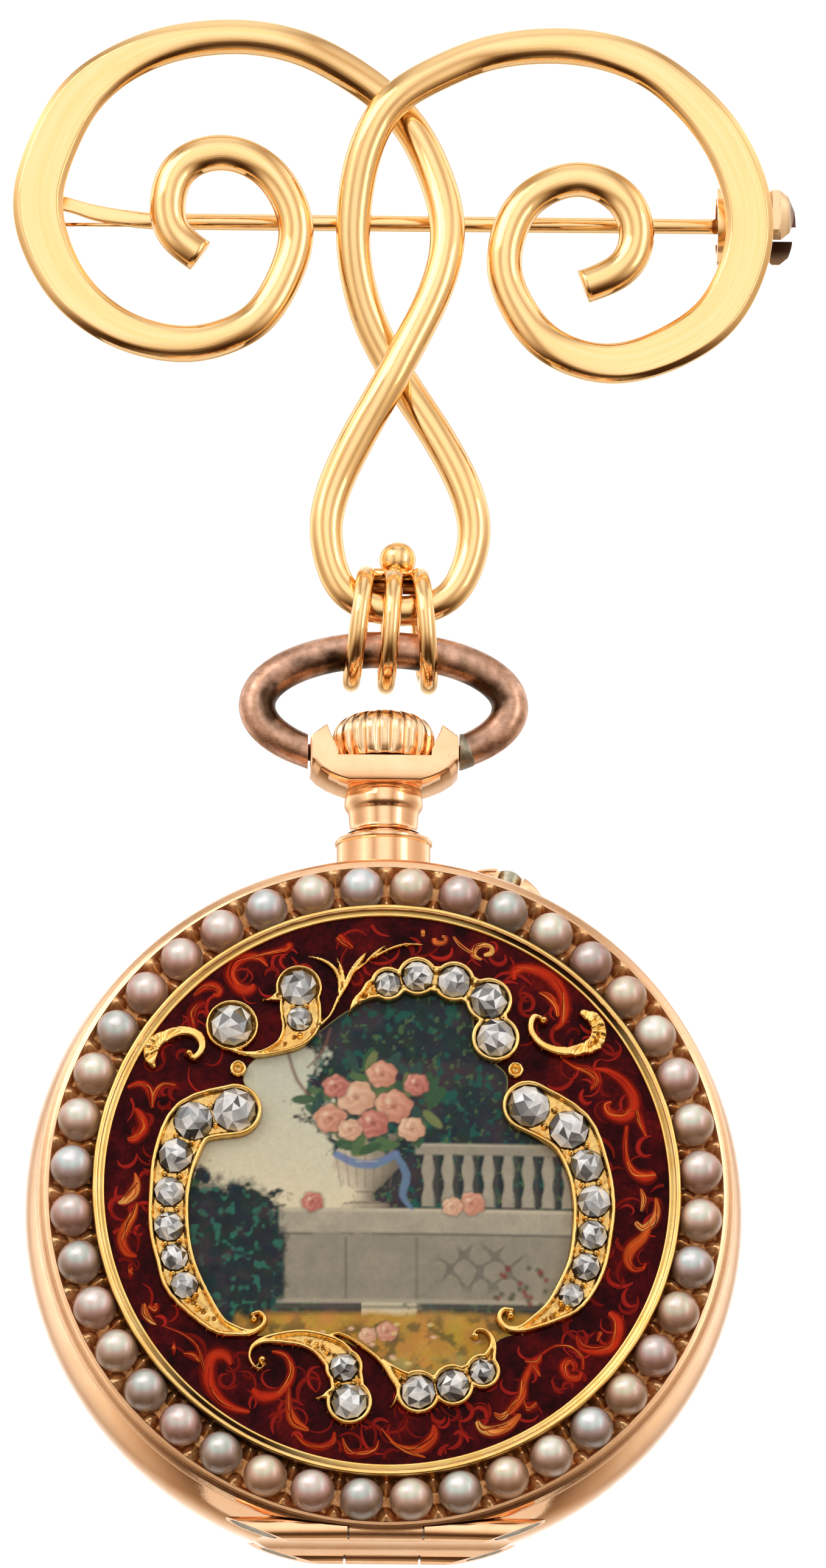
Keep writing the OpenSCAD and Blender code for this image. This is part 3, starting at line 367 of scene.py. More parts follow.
# Tables, in millimetres
# Brooch wire. Columns: x, z, width across the face, lift towards the front.
WIRE = [
    (-7.2, -2.15, 1.35, 0), (-8.45, -0.95, 1.4, 0), (-8.15, 1.35, 1.45, 0), (-6.3, 2.15, 1.45, 0),
    (-4.35, 1.2, 1.4, 0), (-3.4, -1.25, 1.4, 0), (-4.6, -4.3, 1.4, 0), (-6.3, -5.45, 1.45, 0),
    (-8.2, -5.75, 1.5, 0), (-10.5, -5.1, 1.6, 0), (-12.35, -3.55, 1.75, 0), (-13.45, -1.25, 1.95, 0),
    (-13.5, 0.85, 1.95, 0), (-12.25, 3.85, 1.85, 0), (-10.65, 5.45, 1.65, 0), (-8.45, 6.5, 1.5, 0),
    (-5.8, 6.85, 1.4, 0), (-3.4, 6.5, 1.4, -0.1), (-1.4, 5.6, 1.4, -0.45), (0.35, 4.3, 1.35, -0.68),
    (1.65, 2.35, 1.4, -0.5), (2.5, -0.55, 1.4, 0), (2.15, -3.25, 1.35, 0.45), (0.55, -6.7, 1.35, 0.68),
    (-1.1, -9.7, 1.4, 0.3), (-2.05, -11.85, 1.35, 0), (-2.25, -13.7, 1.3, 0), (-1.5, -15.85, 1.2, 0),
    (0.6, -16.55, 1.2, 0), (2.65, -15.9, 1.2, 0), (3.55, -13.7, 1.3, 0), (3.3, -11.8, 1.35, 0),
    (2.2, -9.45, 1.35, -0.3), (0.55, -6.7, 1.35, -0.68), (-0.65, -4.3, 1.35, -0.45), (-1.2, -1.65, 1.35, 0),
    (-1.0, 1.1, 1.4, 0.4), (-0.4, 3.0, 1.35, 0.6), (0.4, 4.15, 1.35, 0.68), (1.75, 5.1, 1.4, 0.5),
    (4.15, 6.25, 1.4, 0.1), (6.9, 6.6, 1.45, 0), (9.3, 6.2, 1.55, 0), (11.25, 5.15, 1.6, 0),
    (13.3, 2.9, 1.75, 0), (14.35, 0.1, 1.85, 0), (14.1, -2.5, 1.85, 0), (12.6, -4.9, 1.8, 0),
    (9.35, -6.4, 1.65, 0), (6.55, -5.7, 1.5, 0), (5.0, -3.6, 1.4, 0), (4.75, -1.75, 1.4, 0),
    (5.6, 0.25, 1.4, 0), (7.6, 1.2, 1.4, 0), (9.4, 0.45, 1.45, 0), (10.0, -1.1, 1.4, 0),
    (9.45, -2.5, 1.4, 0), (7.85, -3.25, 1.35, 0),
]
# Half the section of the wire where its face is flat, from the face round to the back.
# Columns: across, towards the face.
FLAT_SECTION = [
    (0, 1), (0.25, 1), (0.5, 1), (0.69, 1), (0.745, 0.993), (0.77, 0.97), (0.83, 0.87), (0.91, 0.73),
    (0.965, 0.63), (0.987, 0.58), (1, 0.5), (1, 0.3), (1, 0.1), (0.99, -0.15), (0.95, -0.4),
    (0.86, -0.62), (0.72, -0.8), (0.52, -0.93), (0.28, -0.99), (0, -1),
]
# Stones. Columns: x, y, radius.
LEFT = [(-5.93, 3.03, 0.82), (-7.53, 2.61, 0.73), (-8.23, 1.22, 0.65), (-8.47, -0.23, 0.56),
        (-8.48, -1.63, 0.56), (-8.26, -2.85, 0.51), (-7.87, -3.97, 0.51)]
RIGHT = [(5.5, 3.28, 0.8), (7.08, 2.36, 0.75), (7.78, 0.95, 0.63), (8.05, -0.5, 0.61),
         (7.98, -1.83, 0.56), (7.74, -3.11, 0.53), (7.16, -4.25, 0.46)]
PLUME = [(-3.44, 8.0, 0.68), (-3.4, 6.73, 0.46)]
COLLET = (-6.04, 6.46, 0.8)
TOP = [(0.03, 8.17, 0.48), (1.18, 8.49, 0.58), (2.61, 8.29, 0.61), (3.97, 7.55, 0.7), (4.22, 6.01, 0.73)]
FOOT = [(-1.68, -7.23, 0.53), (-1.47, -8.59, 0.68)]
BASE = [(1.21, -8.18, 0.65), (2.55, -7.9, 0.61), (3.71, -7.34, 0.48)]
# Ribbons. Columns: x, y, half width.
LEFT_TAIL = [(-6.7, -5.45, 0.45), (-5.9, -5.8, 0.27), (-5.3, -5.87, 0.17), (-4.9, -5.65, 0.13),
             (-4.75, -5.35, 0.13), (-4.95, -5.07, 0.12), (-5.25, -5.15, 0.1)]
RIGHT_TAIL = [(6.5, -4.9, 0.5), (5.7, -5.4, 0.31), (5.15, -5.65, 0.19), (4.65, -5.6, 0.16),
              (4.35, -5.25, 0.15), (4.5, -4.9, 0.14), (4.85, -4.9, 0.12)]
TOP_BAND = [(-1.5, 6.95, 0.04), (-1.25, 7.4, 0.18), (-0.8, 7.75, 0.31), (-0.3, 8.05, 0.5), (1.15, 8.4, 0.55),
            (2.6, 8.25, 0.6), (3.75, 7.6, 0.62), (4.12, 6.8, 0.62), (4.2, 6.0, 0.6)]
HOOK = [(-3.44, 8.0, 0.6), (-3.4, 7.4, 0.82), (-3.36, 6.9, 0.84), (-3.38, 6.45, 0.75), (-3.65, 6.0, 0.55),
        (-4.15, 5.6, 0.3), (-4.9, 5.32, 0.16), (-5.6, 5.32, 0.12), (-6.2, 5.5, 0.08), (-6.6, 5.8, 0.05)]
SPUR = [(-4.2, 7.65, 0.25), (-4.55, 7.52, 0.1), (-4.85, 7.55, 0.03)]
LEAVES = [
    [(-2.95, 6.2, 0.08), (-2.25, 6.85, 0.07), (-1.9, 7.6, 0.1), (-1.6, 8.1, 0.1), (-1.25, 8.7, 0.07),
     (-0.5, 9.3, 0.05)],
    [(-1.9, 7.7, 0.06), (-1.85, 8.25, 0.09), (-2.05, 8.8, 0.1), (-2.5, 9.15, 0.08), (-3.05, 9.35, 0.03)],
    [(-1.7, 8.05, 0.07), (-1.75, 8.65, 0.1), (-1.95, 9.3, 0.03)],
    [(-1.7, 8.0, 0.08), (-1.4, 8.65, 0.12), (-1.05, 9.15, 0.12), (-0.75, 9.55, 0.03)],
    [(-0.8, 9.1, 0.06), (-0.45, 9.45, 0.09), (-0.05, 9.8, 0.03)],
    [(-0.55, 9.25, 0.06), (0.05, 9.6, 0.07), (0.6, 9.8, 0.07), (1.15, 9.85, 0.05), (1.4, 9.85, 0.03)],
]
FOOT_RIBBON = [(-4.7, -7.1, 0.05), (-4.95, -7.3, 0.07), (-5.2, -7.15, 0.09), (-5.35, -6.8, 0.1),
               (-5.2, -6.4, 0.14), (-4.7, -6.15, 0.2), (-4.0, -6.08, 0.3), (-3.3, -6.1, 0.39),
               (-2.65, -6.3, 0.49), (-2.05, -6.7, 0.65), (-1.68, -7.23, 0.68), (-1.55, -7.9, 0.7),
               (-1.47, -8.6, 0.6)]
FOOT_SPUR = [(-2.2, -8.3, 0.25), (-2.5, -8.4, 0.1), (-2.8, -8.45, 0.03)]
BASE_TAIL = [(-2.6, -6.15, 0.09), (-1.85, -5.9, 0.09), (-0.9, -6.45, 0.11), (-0.2, -7.05, 0.13),
             (0.2, -7.65, 0.15), (0.4, -8.1, 0.1), (0.28, -8.6, 0.07), (0.1, -8.8, 0.03)]
BASE_BAND = [(-0.15, -6.95, 0.1), (0.4, -7.5, 0.3), (1.21, -8.1, 0.6), (1.95, -8.0, 0.55), (2.55, -7.85, 0.6),
             (3.15, -7.55, 0.52), (3.71, -7.2, 0.45), (4.05, -6.6, 0.25), (4.1, -6.1, 0.15),
             (3.85, -5.75, 0.11), (3.5, -5.7, 0.09), (3.3, -5.95, 0.07)]
ACANTHUS = [
    [(-7.75, 5.3, 0.12), (-7.5, 5.15, 0.16), (-7.2, 5.55, 0.18), (-7.35, 6.05, 0.22), (-7.9, 6.25, 0.22),
     (-8.5, 6.1, 0.26), (-9.05, 5.75, 0.32), (-9.2, 5.25, 0.3), (-9.1, 4.85, 0.15)],
    [(6.0, 6.9, 0.1), (5.7, 6.9, 0.16), (5.6, 6.4, 0.16), (5.95, 5.85, 0.18), (6.65, 5.55, 0.21),
     (7.45, 5.6, 0.26), (8.1, 5.9, 0.36), (8.25, 6.45, 0.33), (8.05, 6.9, 0.3), (7.65, 7.1, 0.19)],
]
DOTS = [(-5.8, 4.72, 0.34), (5.0, 4.75, 0.33)]
BALLS = [(-7.72, 5.32, 0.2), (6.1, 6.77, 0.2)]
CURLS = [(-5.18, -5.35, 0.14), (4.8, -5.12, 0.15), (-4.85, -6.95, 0.2), (3.46, -5.97, 0.14)]
MINIATURE = [
    (-5.2, 5.1), (-4.1, 5.5), (-2.9, 6.1), (-1.6, 7.1), (-0.4, 7.7), (1.4, 8), (2.5, 7.8), (3.3, 7.1),
    (3.4, 6.1), (3.8, 5.4), (4.6, 4.7), (4.7, 4.1), (4.6, 3.4), (4.8, 2.8), (5.3, 2.4), (6, 2.2), (6.8, 1.7),
    (7.3, 0.8), (7.5, -0.7), (7.4, -2), (7.1, -3.2), (6.4, -4.6), (5.5, -5.6), (4.4, -6), (3.8, -6.7),
    (2.7, -7.3), (1.3, -7.6), (0.3, -7.2), (-0.6, -6.7), (-1.8, -6.1), (-3, -5.8), (-4.3, -5.9),
    (-5.7, -5.9), (-6.7, -5.3), (-7.3, -4.3), (-7.7, -3.1), (-7.95, -1.7), (-7.9, 0.3), (-7.6, 1.3),
    (-6.9, 1.95), (-6, 2.1), (-5.3, 2.4), (-5, 3), (-5.2, 3.7), (-5.6, 4.3),
]


# Distance fields on the cover: the height of the middle of the enamel, and the radius of its dome
ENAMEL_TOP, ENAMEL_CURVE = 4.28, 121.25


def dome(x, y):
    """Height of the enamel."""
    return ENAMEL_TOP - ENAMEL_CURVE + np.sqrt(ENAMEL_CURVE ** 2 - x * x - y * y)


def d_disc(x, y, s):
    return np.hypot(x - s[0], y - s[1]) - s[2]


def to_segment(x, y, a, b):
    """How far along a segment the nearest place lies, and the distance to it."""
    v = b[:2] - a[:2]
    t = clamped(((x - a[0]) * v[0] + (y - a[1]) * v[1]) / max(v @ v, 1e-9))
    return t, np.hypot(x - a[0] - t * v[0], y - a[1] - t * v[1])


def d_line(x, y, rows, steps=3):
    """Distance to a ribbon whose half width varies along its line."""
    p = smooth(rows, steps)
    out = np.full(np.shape(x), 1e9)
    for a, b in zip(p[:-1], p[1:]):
        t, d = to_segment(x, y, a, b)
        out = np.minimum(out, d - (a[2] + t * (b[2] - a[2])))
    return out


def d_polygon(x, y, pts):
    """Signed distance to a closed outline, negative inside."""
    out = np.full(np.shape(x), 1e9)
    inside = np.zeros(np.shape(x), bool)
    for a, b in zip(pts, np.roll(pts, -1, 0)):
        out = np.minimum(out, to_segment(x, y, a, b)[1])
        cross = (a[1] > y) != (b[1] > y)
        with np.errstate(divide="ignore", invalid="ignore"):
            at = a[0] + (y - a[1]) / (b[1] - a[1]) * (b[0] - a[0])
        inside ^= cross & (x < at)
    return np.where(inside, -out, out)


def field(mesh, sdf, box, step, surface, colour=None):
    """A surface over every cell inside sdf; its edge cells are pulled onto the outline."""
    nx, ny = int((box[2] - box[0]) / step) + 2, int((box[3] - box[1]) / step) + 2
    x, y = np.meshgrid(box[0] + step * np.arange(nx), box[1] + step * np.arange(ny))
    s = sdf(x, y)
    inside = s < 0
    cell = inside[:-1, :-1] | inside[1:, :-1] | inside[:-1, 1:] | inside[1:, 1:]
    e = 0.3 * step
    for _ in range(3):
        out = s > 0
        near = out & (s < 3 * step)
        gx = (sdf(x + e, y) - s) / e
        gy = (sdf(x, y + e) - s) / e
        g = np.maximum(np.hypot(gx, gy), 0.3)
        x = np.where(near, x - gx / g ** 2 * s, x)
        y = np.where(near, y - gy / g ** 2 * s, y)
        s = np.where(near, sdf(x, y), s)
    used = np.zeros(x.shape, bool)
    for a, b in ((0, 0), (1, 0), (0, 1), (1, 1)):
        used[a:ny - 1 + a, b:nx - 1 + b] |= cell
    index = -np.ones(x.shape, int)
    index[used] = np.arange(used.sum())
    xs, ys, ss = x[used], y[used], np.minimum(s[used], 0)
    d = surface(xs, ys, ss)
    j, i = np.nonzero(cell)
    f = points(index[j, i], index[j, i + 1], index[j + 1, i + 1], index[j + 1, i])
    tones = colour(xs, ys, ss, d) if colour else None
    mesh.add(on_cover(points(xs, ys, d)), f, tones)


def near_points(x, y, rows):
    """For each place, the height of round grains; rows hold x, y, radius, height."""
    out = np.zeros(np.shape(x))
    for gx, gy, r, h in rows:
        q = ((x - gx) ** 2 + (y - gy) ** 2) / (r * r)
        out = np.maximum(out, h * np.sqrt(clamped(1 - q)))
    return out


def value_noise(x, y, scale, seed):
    """Smooth noise from 0 to 1 on a plane."""
    size = 64
    t = np.random.default_rng(seed).random((size, size))
    u, v = x * scale + 31.7, y * scale + 17.3
    i, j = np.floor(u).astype(int), np.floor(v).astype(int)
    fu, fv = u - i, v - j
    fu, fv = fu * fu * (3 - 2 * fu), fv * fv * (3 - 2 * fv)
    at = lambda a, b: t[a % size, b % size]
    return ((at(i, j) * (1 - fu) + at(i + 1, j) * fu) * (1 - fv)
            + (at(i, j + 1) * (1 - fu) + at(i + 1, j + 1) * fu) * fv)


def fractal(x, y, scale, seed, octaves=4):
    total, amp, out = 0, 1, 0
    for k in range(octaves):
        out = out + amp * value_noise(x, y, scale * 2 ** k, seed + k)
        total += amp
        amp *= 0.55
    return out / total


def mixed(a, b, t):
    t = clamped(t)[..., None]
    return np.asarray(a, float) * (1 - t) + np.asarray(b, float) * t


# Brooch
def build_wire():
    """The wire as one smooth tube, round in the scrolls and with a flat face where it is wide."""
    gap, flat_from, flat_over, half_depth, flatter = 0.2, 1.45, 0.28, 0.625, 0.28
    rows = relaxed(even(smooth(WIRE, 12), gap), 7)
    t = tangents(rows[:, :2])
    side = points(-t[:, 1], 0 * t[:, 0], t[:, 0])
    centre = points(rows[:, 0], HANG_Y - rows[:, 3], rows[:, 1])
    flat = clamped((rows[:, 2] - flat_from) / flat_over)[:, None, None]
    half = np.array(FLAT_SECTION)
    faced = np.concatenate([half, half[-2:0:-1] * [-1, 1]])
    ring = on_circle(TAU / 4 - around(len(faced))) * (1 - flat) + faced * flat
    depth = half_depth * np.where(ring[..., 1:] > 0, 1 - flatter * flat, 1)
    ring = ring * np.concatenate([np.broadcast_to(rows[:, 2, None, None] / 2, depth.shape), depth], -1)
    mesh = Mesh()
    section_tube(mesh, centre, side, FRONT, ring)
    mesh.make("wire_polished", "brooch", [WIRE_GOLD], replaces=("scroll_wire",))


# Pin of the brooch. Columns: x, low side, high side, half depth, roundness of the section.
PIN = [
    (-13.1, 0.42, 1.03, 0.16, 0.3), (-12.5, 0.38, 0.96, 0.16, 0.3), (-12, 0.25, 0.82, 0.16, 0.3),
    (-11.4, 0.04, 0.66, 0.16, 0.35), (-10.6, -0.13, 0.51, 0.18, 0.45), (-9.8, -0.25, 0.41, 0.23, 0.65),
    (-9, -0.32, 0.35, 0.3, 0.9), (-8.3, -0.335, 0.335, 0.335, 1), (14.1, -0.3, 0.3, 0.3, 1),
    (14.7, -0.17, 0.17, 0.17, 1), (15, -0.03, 0.03, 0.03, 1),
]


def build_pin():
    """The pin: its barrel, the bent leaf at the root and the round stem with a point."""
    rows = np.concatenate([smooth(PIN[:8], 5), PIN[8:]])
    a = -around(24)
    soft_sine = lambda v: np.sign(v) * np.abs(v) ** rows[:, 4:5]
    across = (rows[:, 2:3] - rows[:, 1:2]) / 2 * soft_sine(np.cos(a)[None])
    depth = rows[:, 3:4] * soft_sine(np.sin(a)[None])
    centre = points(rows[:, 0], 0 * rows[:, 0], (rows[:, 1] + rows[:, 2]) / 2)
    mesh = Mesh()
    section_tube(mesh, centre, UP, FRONT, points(across, depth))
    tube(mesh, [(-13.1, 0, -0.16), (-8.8, 0, -0.16)], 0.08, 12)
    bore, low, high = 0.24, -0.5, 1.1
    barrel = [(bore, low), (0.52, low), (0.55, -0.46), (0.55, 1.06), (0.52, high), (bore, high), (bore, low)]
    turned(mesh, barrel, 40, lambda v: v + [-13.35, 0, 0])
    mesh.make("pin_polished", "pin", [WIRE_GOLD], replaces=("pin_stem",))


def build_rings():
    """Three link rings, the bar and ball that join them, and a dark tube between them as painted shade."""
    mesh = Mesh()
    radius, wire, ball, mid_z = 2.16, 0.36, 0.72, -17.33
    a = around(96)
    for x, dz, lean in ((-0.98, 0.08, 7.5), (0.25, 0, 4), (1.58, 0, -5)):
        q = math.radians(lean)
        p = points(x + radius * np.cos(a) * math.sin(q), HANG_Y + radius * np.sin(a),
                   mid_z + dz + radius * np.cos(a) * math.cos(q))
        tube(mesh, p, wire, 24, True, up=(math.cos(q), 0, -math.sin(q)))
    th = np.linspace(0, math.pi, 28)
    turned(mesh, ball * points(np.sin(th), -np.cos(th)), 40, lambda v: v + [0.55, HANG_Y, -14.45])
    seat = [(0, -0.15), (0.55, -0.15), (0.64, -0.07), (0.64, 0.03), (0.52, 0.1), (0, 0.1)]
    turned(mesh, seat, 32, lambda v: v + [0.5, HANG_Y, -15.08])
    bar = [(-0.75, -15.1), (0.4, -15.06), (1.38, -15.1)]
    shade_tube = [(-0.85, -15.6), (0.3, -15.58), (1.35, -15.6)]
    tube(mesh, [(x, HANG_Y, z) for x, z in bar], 0.3, 16)
    # painted shade: a dark tube under the bar, between the rings, where shade falls
    tube(mesh, [(x, HANG_Y, z) for x, z in shade_tube], 0.24, 16, colour=(0.3, 0.16, 0.08), mat=1)
    mesh.make("rings_polished", "bail", [WIRE_GOLD, BED_GOLD], replaces=("link_rings",))


def build_bow():
    """The tarnished bow with its ear pins, and the thin grey collar at one end."""
    mesh = Mesh()
    half_w, mid_z, half_h, radius, end_x, ear_z = 4.95, -20.4, 2.3, 0.72, 2.97, -22.28
    turn = 180 - math.degrees(math.asin(3.2 / half_w))
    deg = np.linspace(-turn, turn, 150)
    t = np.radians(deg)
    p = points(half_w * np.sin(t), np.full(t.shape, HANG_Y), mid_z + half_h * np.cos(t))
    tan = unit(points(half_w * np.cos(t), 0 * t, -half_h * np.sin(t)))
    side = points(-tan[:, 2], 0 * t, tan[:, 0])
    a = around(36)
    thick = radius * (1 - 0.1 * np.maximum(0, np.abs(deg) - 95) / 45)
    ring = on_circle(a)[None] * thick[:, None, None]
    v = p[:, None] + ring[..., :1] * side[:, None] + ring[..., 1:] * FRONT[:, None]
    share = np.interp(np.cos(t), [-0.76, -0.3, 0.4, 1], [0.45, 1, 1, 0.9])[:, None]
    inner = clamped(-np.cos(a)[None] * 1.1 + 0.25) * share
    patch = fractal(v[..., 0] + v[..., 1], v[..., 2], 1.1, 11)
    darkening = clamped(inner * (3.2 * patch - 0.7) + 0.8 * clamped(patch - 0.6))
    col = mixed((1, 1, 1), (0.09, 0.08, 0.06), darkening.ravel())
    for i, x in ((0, -end_x), (-1, end_x)):
        v[i] += ((x - v[i, :, :1]) / tan[i, 0]) * tan[i]
    mesh.add(v, grid_faces(len(p), len(a)), col)
    for i in (0, -1):
        mesh.add(v[i], [list(range(len(a)))], (0.6, 0.6, 0.6))
    for sx in (-1, 1):
        tube(mesh, [(sx * 2.4, HANG_Y, ear_z), (sx * 2.99, HANG_Y, ear_z)], 0.33, 20, colour=(0.7, 0.7, 0.6))
    mesh.make("bow_worn", "bow", [COPPER], replaces=("bow",))
    collar = Mesh()
    rings = v[-2] + (v[-1] - v[-2]) * np.array([0, 0.15, 0.85, 1])[:, None, None]
    mid = rings.mean(1, keepdims=True)
    collar.add(mid + (rings - mid) * np.array([1, 1.05, 1.05, 1])[:, None, None], grid_faces(4, len(a)))
    collar.make("bow_collar", "bow", [STEEL])


def build_crown():
    """The crown with soft flutes, worn gold on their crests and a darker tone high in their grooves."""
    top, edge, low, radius = -20.8, -21.75, -22.72, 2.03
    foot = radius - 0.2
    prof = [(0.5, low), (foot - 0.08, low), (foot - 0.03, low + 0.03), (foot, low + 0.1),
            (foot + 0.1, low + 0.26), (foot + 0.14, low + 0.42), (foot + 0.17, low + 0.58),
            (radius - 0.02, edge - 0.24), (radius - 0.005, edge - 0.1)]
    prof += [(radius * (0.45 + 0.55 * math.cos(q)), edge + (top - edge) * math.sin(q))
             for q in np.linspace(0, 1.45, 18)]
    prof += [(0.85, top - 0.01), (0.5, top), (0.25, top), (0.02, top)]
    pr = np.array(prof)
    z = pr[:, 1]
    sides, flutes = 400, 20
    a = around(sides)
    groove = 0.5 - 0.5 * np.cos(flutes * a)
    rise = [low, low + 0.12, low + 0.3, edge, edge + 0.5, edge + 0.78, edge + 0.88]
    amount = np.interp(z, rise, [0.03, 0.09, 0.13, 0.14, 0.13, 0.06, 0])
    r = np.maximum(pr[:, :1] - amount[:, None] * groove ** 2.6 - 0.02 * (pr[:, :1] > 1), 0.01)
    v = points(r * np.cos(a), HANG_Y + r * np.sin(a), np.repeat(z[:, None], sides, 1))
    # a darker tone high in the grooves, where they run up over the rounded top
    limit = np.interp(z, [edge + 0.2, edge + 0.35, edge + 0.8, edge + 0.94], [1.2, 0.96, 0.72, 1.1])[:, None]
    darkening = clamped((groove - limit) / 0.1)
    worn = clamped(3 * fractal(v[..., 0] * 3, v[..., 2] * 1.2, 2.2, 6, 3) - 1.2)
    grain = clamped(1 - groove / 0.16) * worn
    grain *= np.interp(z, [low + 0.1, low + 0.3, edge + 0.2, edge + 0.4], [0, 1, 1, 0])[:, None]
    col = mixed((1, 1, 1), (0.8, 0.5, 0.25), 0.8 * grain.ravel())
    col = mixed(col, (0.16, 0.09, 0.06), darkening.ravel() * 0.9)
    mesh = Mesh()
    mesh.add(v, grid_faces(len(pr), sides), col)
    tube(mesh, [(0, HANG_Y, -28.1), (0, HANG_Y, low + 0.1)], 0.5, 24)
    mesh.make("crown_fluted", "crown", [CROWN], replaces=("crown",))


# Fork under the crown, right half. Columns: x, z of its outline; then z, half depth of its front; z, half
# depth of its core; z, radius of its bowl.
FORK = [(1.47, -24.15), (1.86, -24.02), (2.27, -23.84), (2.67, -23.58), (2.9, -23.32), (2.9, -22.05),
        (2.32, -21.59), (2.21, -21.59), (2.14, -21.85), (1.99, -22.2), (1.83, -22.6), (1.81, -22.84)]
FORK_DEPTH = [(-24.15, 1.58), (-24.02, 1.75), (-23.87, 1.87), (-23.6, 1.96), (-23.2, 2.0), (-22.4, 2.0),
              (-22, 1.96), (-21.55, 1.86)]
FORK_CORE = [(-24.05, 1.2), (-23.9, 1.38), (-23.6, 1.67), (-23.3, 1.83), (-22.9, 1.9), (-22.5, 1.83),
             (-22.2, 1.67), (-21.55, 0.8)]
FORK_BOWL = [(-24.05, 1.46), (-23.87, 1.86), (-23.68, 2.27), (-23.42, 2.67), (-23.1, 3.0), (-22.8, 3.15)]
# Neck under the fork. Columns: radius, z.
NECK = [(1.0, -23.9), (1.45, -23.98), (1.52, -24.14), (1.545, -24.35), (1.53, -24.52), (1.46, -24.66),
        (1.39, -24.78), (1.37, -24.95), (1.35, -25.2), (1.335, -25.4), (1.36, -25.5), (1.43, -25.6),
        (1.49, -25.66)]


def build_fork():
    """Fork's front and the neck's moulding, as one smooth surface over the case's own solid."""
    half = np.array(FORK)
    mirrored = lambda p: np.concatenate([p, p[::-1] * [-1, 1]]) - [0, CASE_Z]
    outline = mirrored(half)
    lower_edge = mirrored(np.concatenate([half[:5], [(3.6, -22.9), (3.6, -20)]]))

    def depth(x, y, s):
        at = lambda rows: np.interp(y + CASE_Z, *smooth(rows, 8).T)
        under = clamped(-d_polygon(x, y, lower_edge) / 0.34)
        shape = (at(FORK_DEPTH) - 0.015 * x * x) * np.sqrt(1 - (1 - under) ** 2)
        bowl = np.sqrt(np.maximum(at(FORK_BOWL) ** 2 - x * x, 0.01))
        return np.maximum(shape, np.minimum(at(FORK_CORE), bowl) + 0.02) * clamped(-s / 0.02) ** 0.5

    mesh = Mesh()
    field(mesh, lambda x, y: d_polygon(x, y, outline), (-3, 16.55, 3, 19.4), 0.035, depth)
    turned(mesh, smooth(NECK, 4), 120, lambda v: v + [0, HANG_Y, 0])
    mesh.make("fork_polished", "watch", [ROSE])


# Cover
# Tints of the pearls, and the angle from one pearl to the next.
PEARL_TINTS = [(0.96, 0.86, 0.72), (0.90, 0.74, 0.68), (0.76, 0.76, 0.72), (0.98, 0.90, 0.78),
               (0.80, 0.64, 0.60), (0.94, 0.78, 0.60), (0.80, 0.82, 0.84)]
PEARL_STEP = 9


def build_pearls():
    """Slightly uneven pearls with their own tints, painted shade below and a painted highlight above."""
    circle, radius, height, floor = 12.27, 0.85, 3.33, 2.9
    g = np.random.default_rng(21)
    n, m = 26, 40
    th = np.linspace(0, math.pi, n)
    ph = around(m)
    d = points(np.sin(th)[:, None] * np.cos(ph), np.sin(th)[:, None] * np.sin(ph),
               np.repeat(np.cos(th)[:, None], m, 1))
    up = (0.93 * d[..., 2] + 0.28 * d[..., 1] - 0.12 * d[..., 0]).ravel()
    mesh = Mesh()
    for k in range(360 // PEARL_STEP):
        q = math.radians((k + 0.5) * PEARL_STEP)
        k1, k2 = g.normal(size=3) * 1.2, g.normal(size=3) * 1.8
        wob = 1 + 0.012 * np.sin(d @ k1 + 1) + 0.008 * np.sin(d @ k2)
        size = radius * (0.985 + 0.02 * g.random())
        p = d * wob[..., None] * size + np.array([-circle * math.sin(q), circle * math.cos(q), height])
        p[..., 2] = np.maximum(p[..., 2], floor)
        tint = np.array(PEARL_TINTS[g.integers(len(PEARL_TINTS))]) * (0.94 + 0.1 * g.random())
        # painted shade, darkest at the rim, up to a painted white highlight near the top
        shade_to_highlight = [tint * (0.68, 0.58, 0.52), tint * (0.36, 0.23, 0.16), tint * (0.46, 0.30, 0.21),
                tint * (0.76, 0.57, 0.56), tint * (0.74, 0.90, 0.86), tint * 0.96, tint * 0 + 1.2]
        stops = [0, 0.36, 0.55, 0.78, 0.9, 0.955, 0.985] if k % 3 else [0, 0.3, 0.48, 0.72, 0.85, 0.94, 0.99]
        col = np.stack([np.interp(up, stops, channel) for channel in zip(*shade_to_highlight)], -1)
        mottle = 0.93 + 0.14 * fractal(p[..., 0].ravel(), p[..., 1].ravel(), 3, k, 2)
        mesh.add(on_cover(p), grid_faces(n, m), clamped(col * mottle[:, None]))
    mesh.make("pearls_painted_light", "cover", [PEARL], replaces=("pearls",))


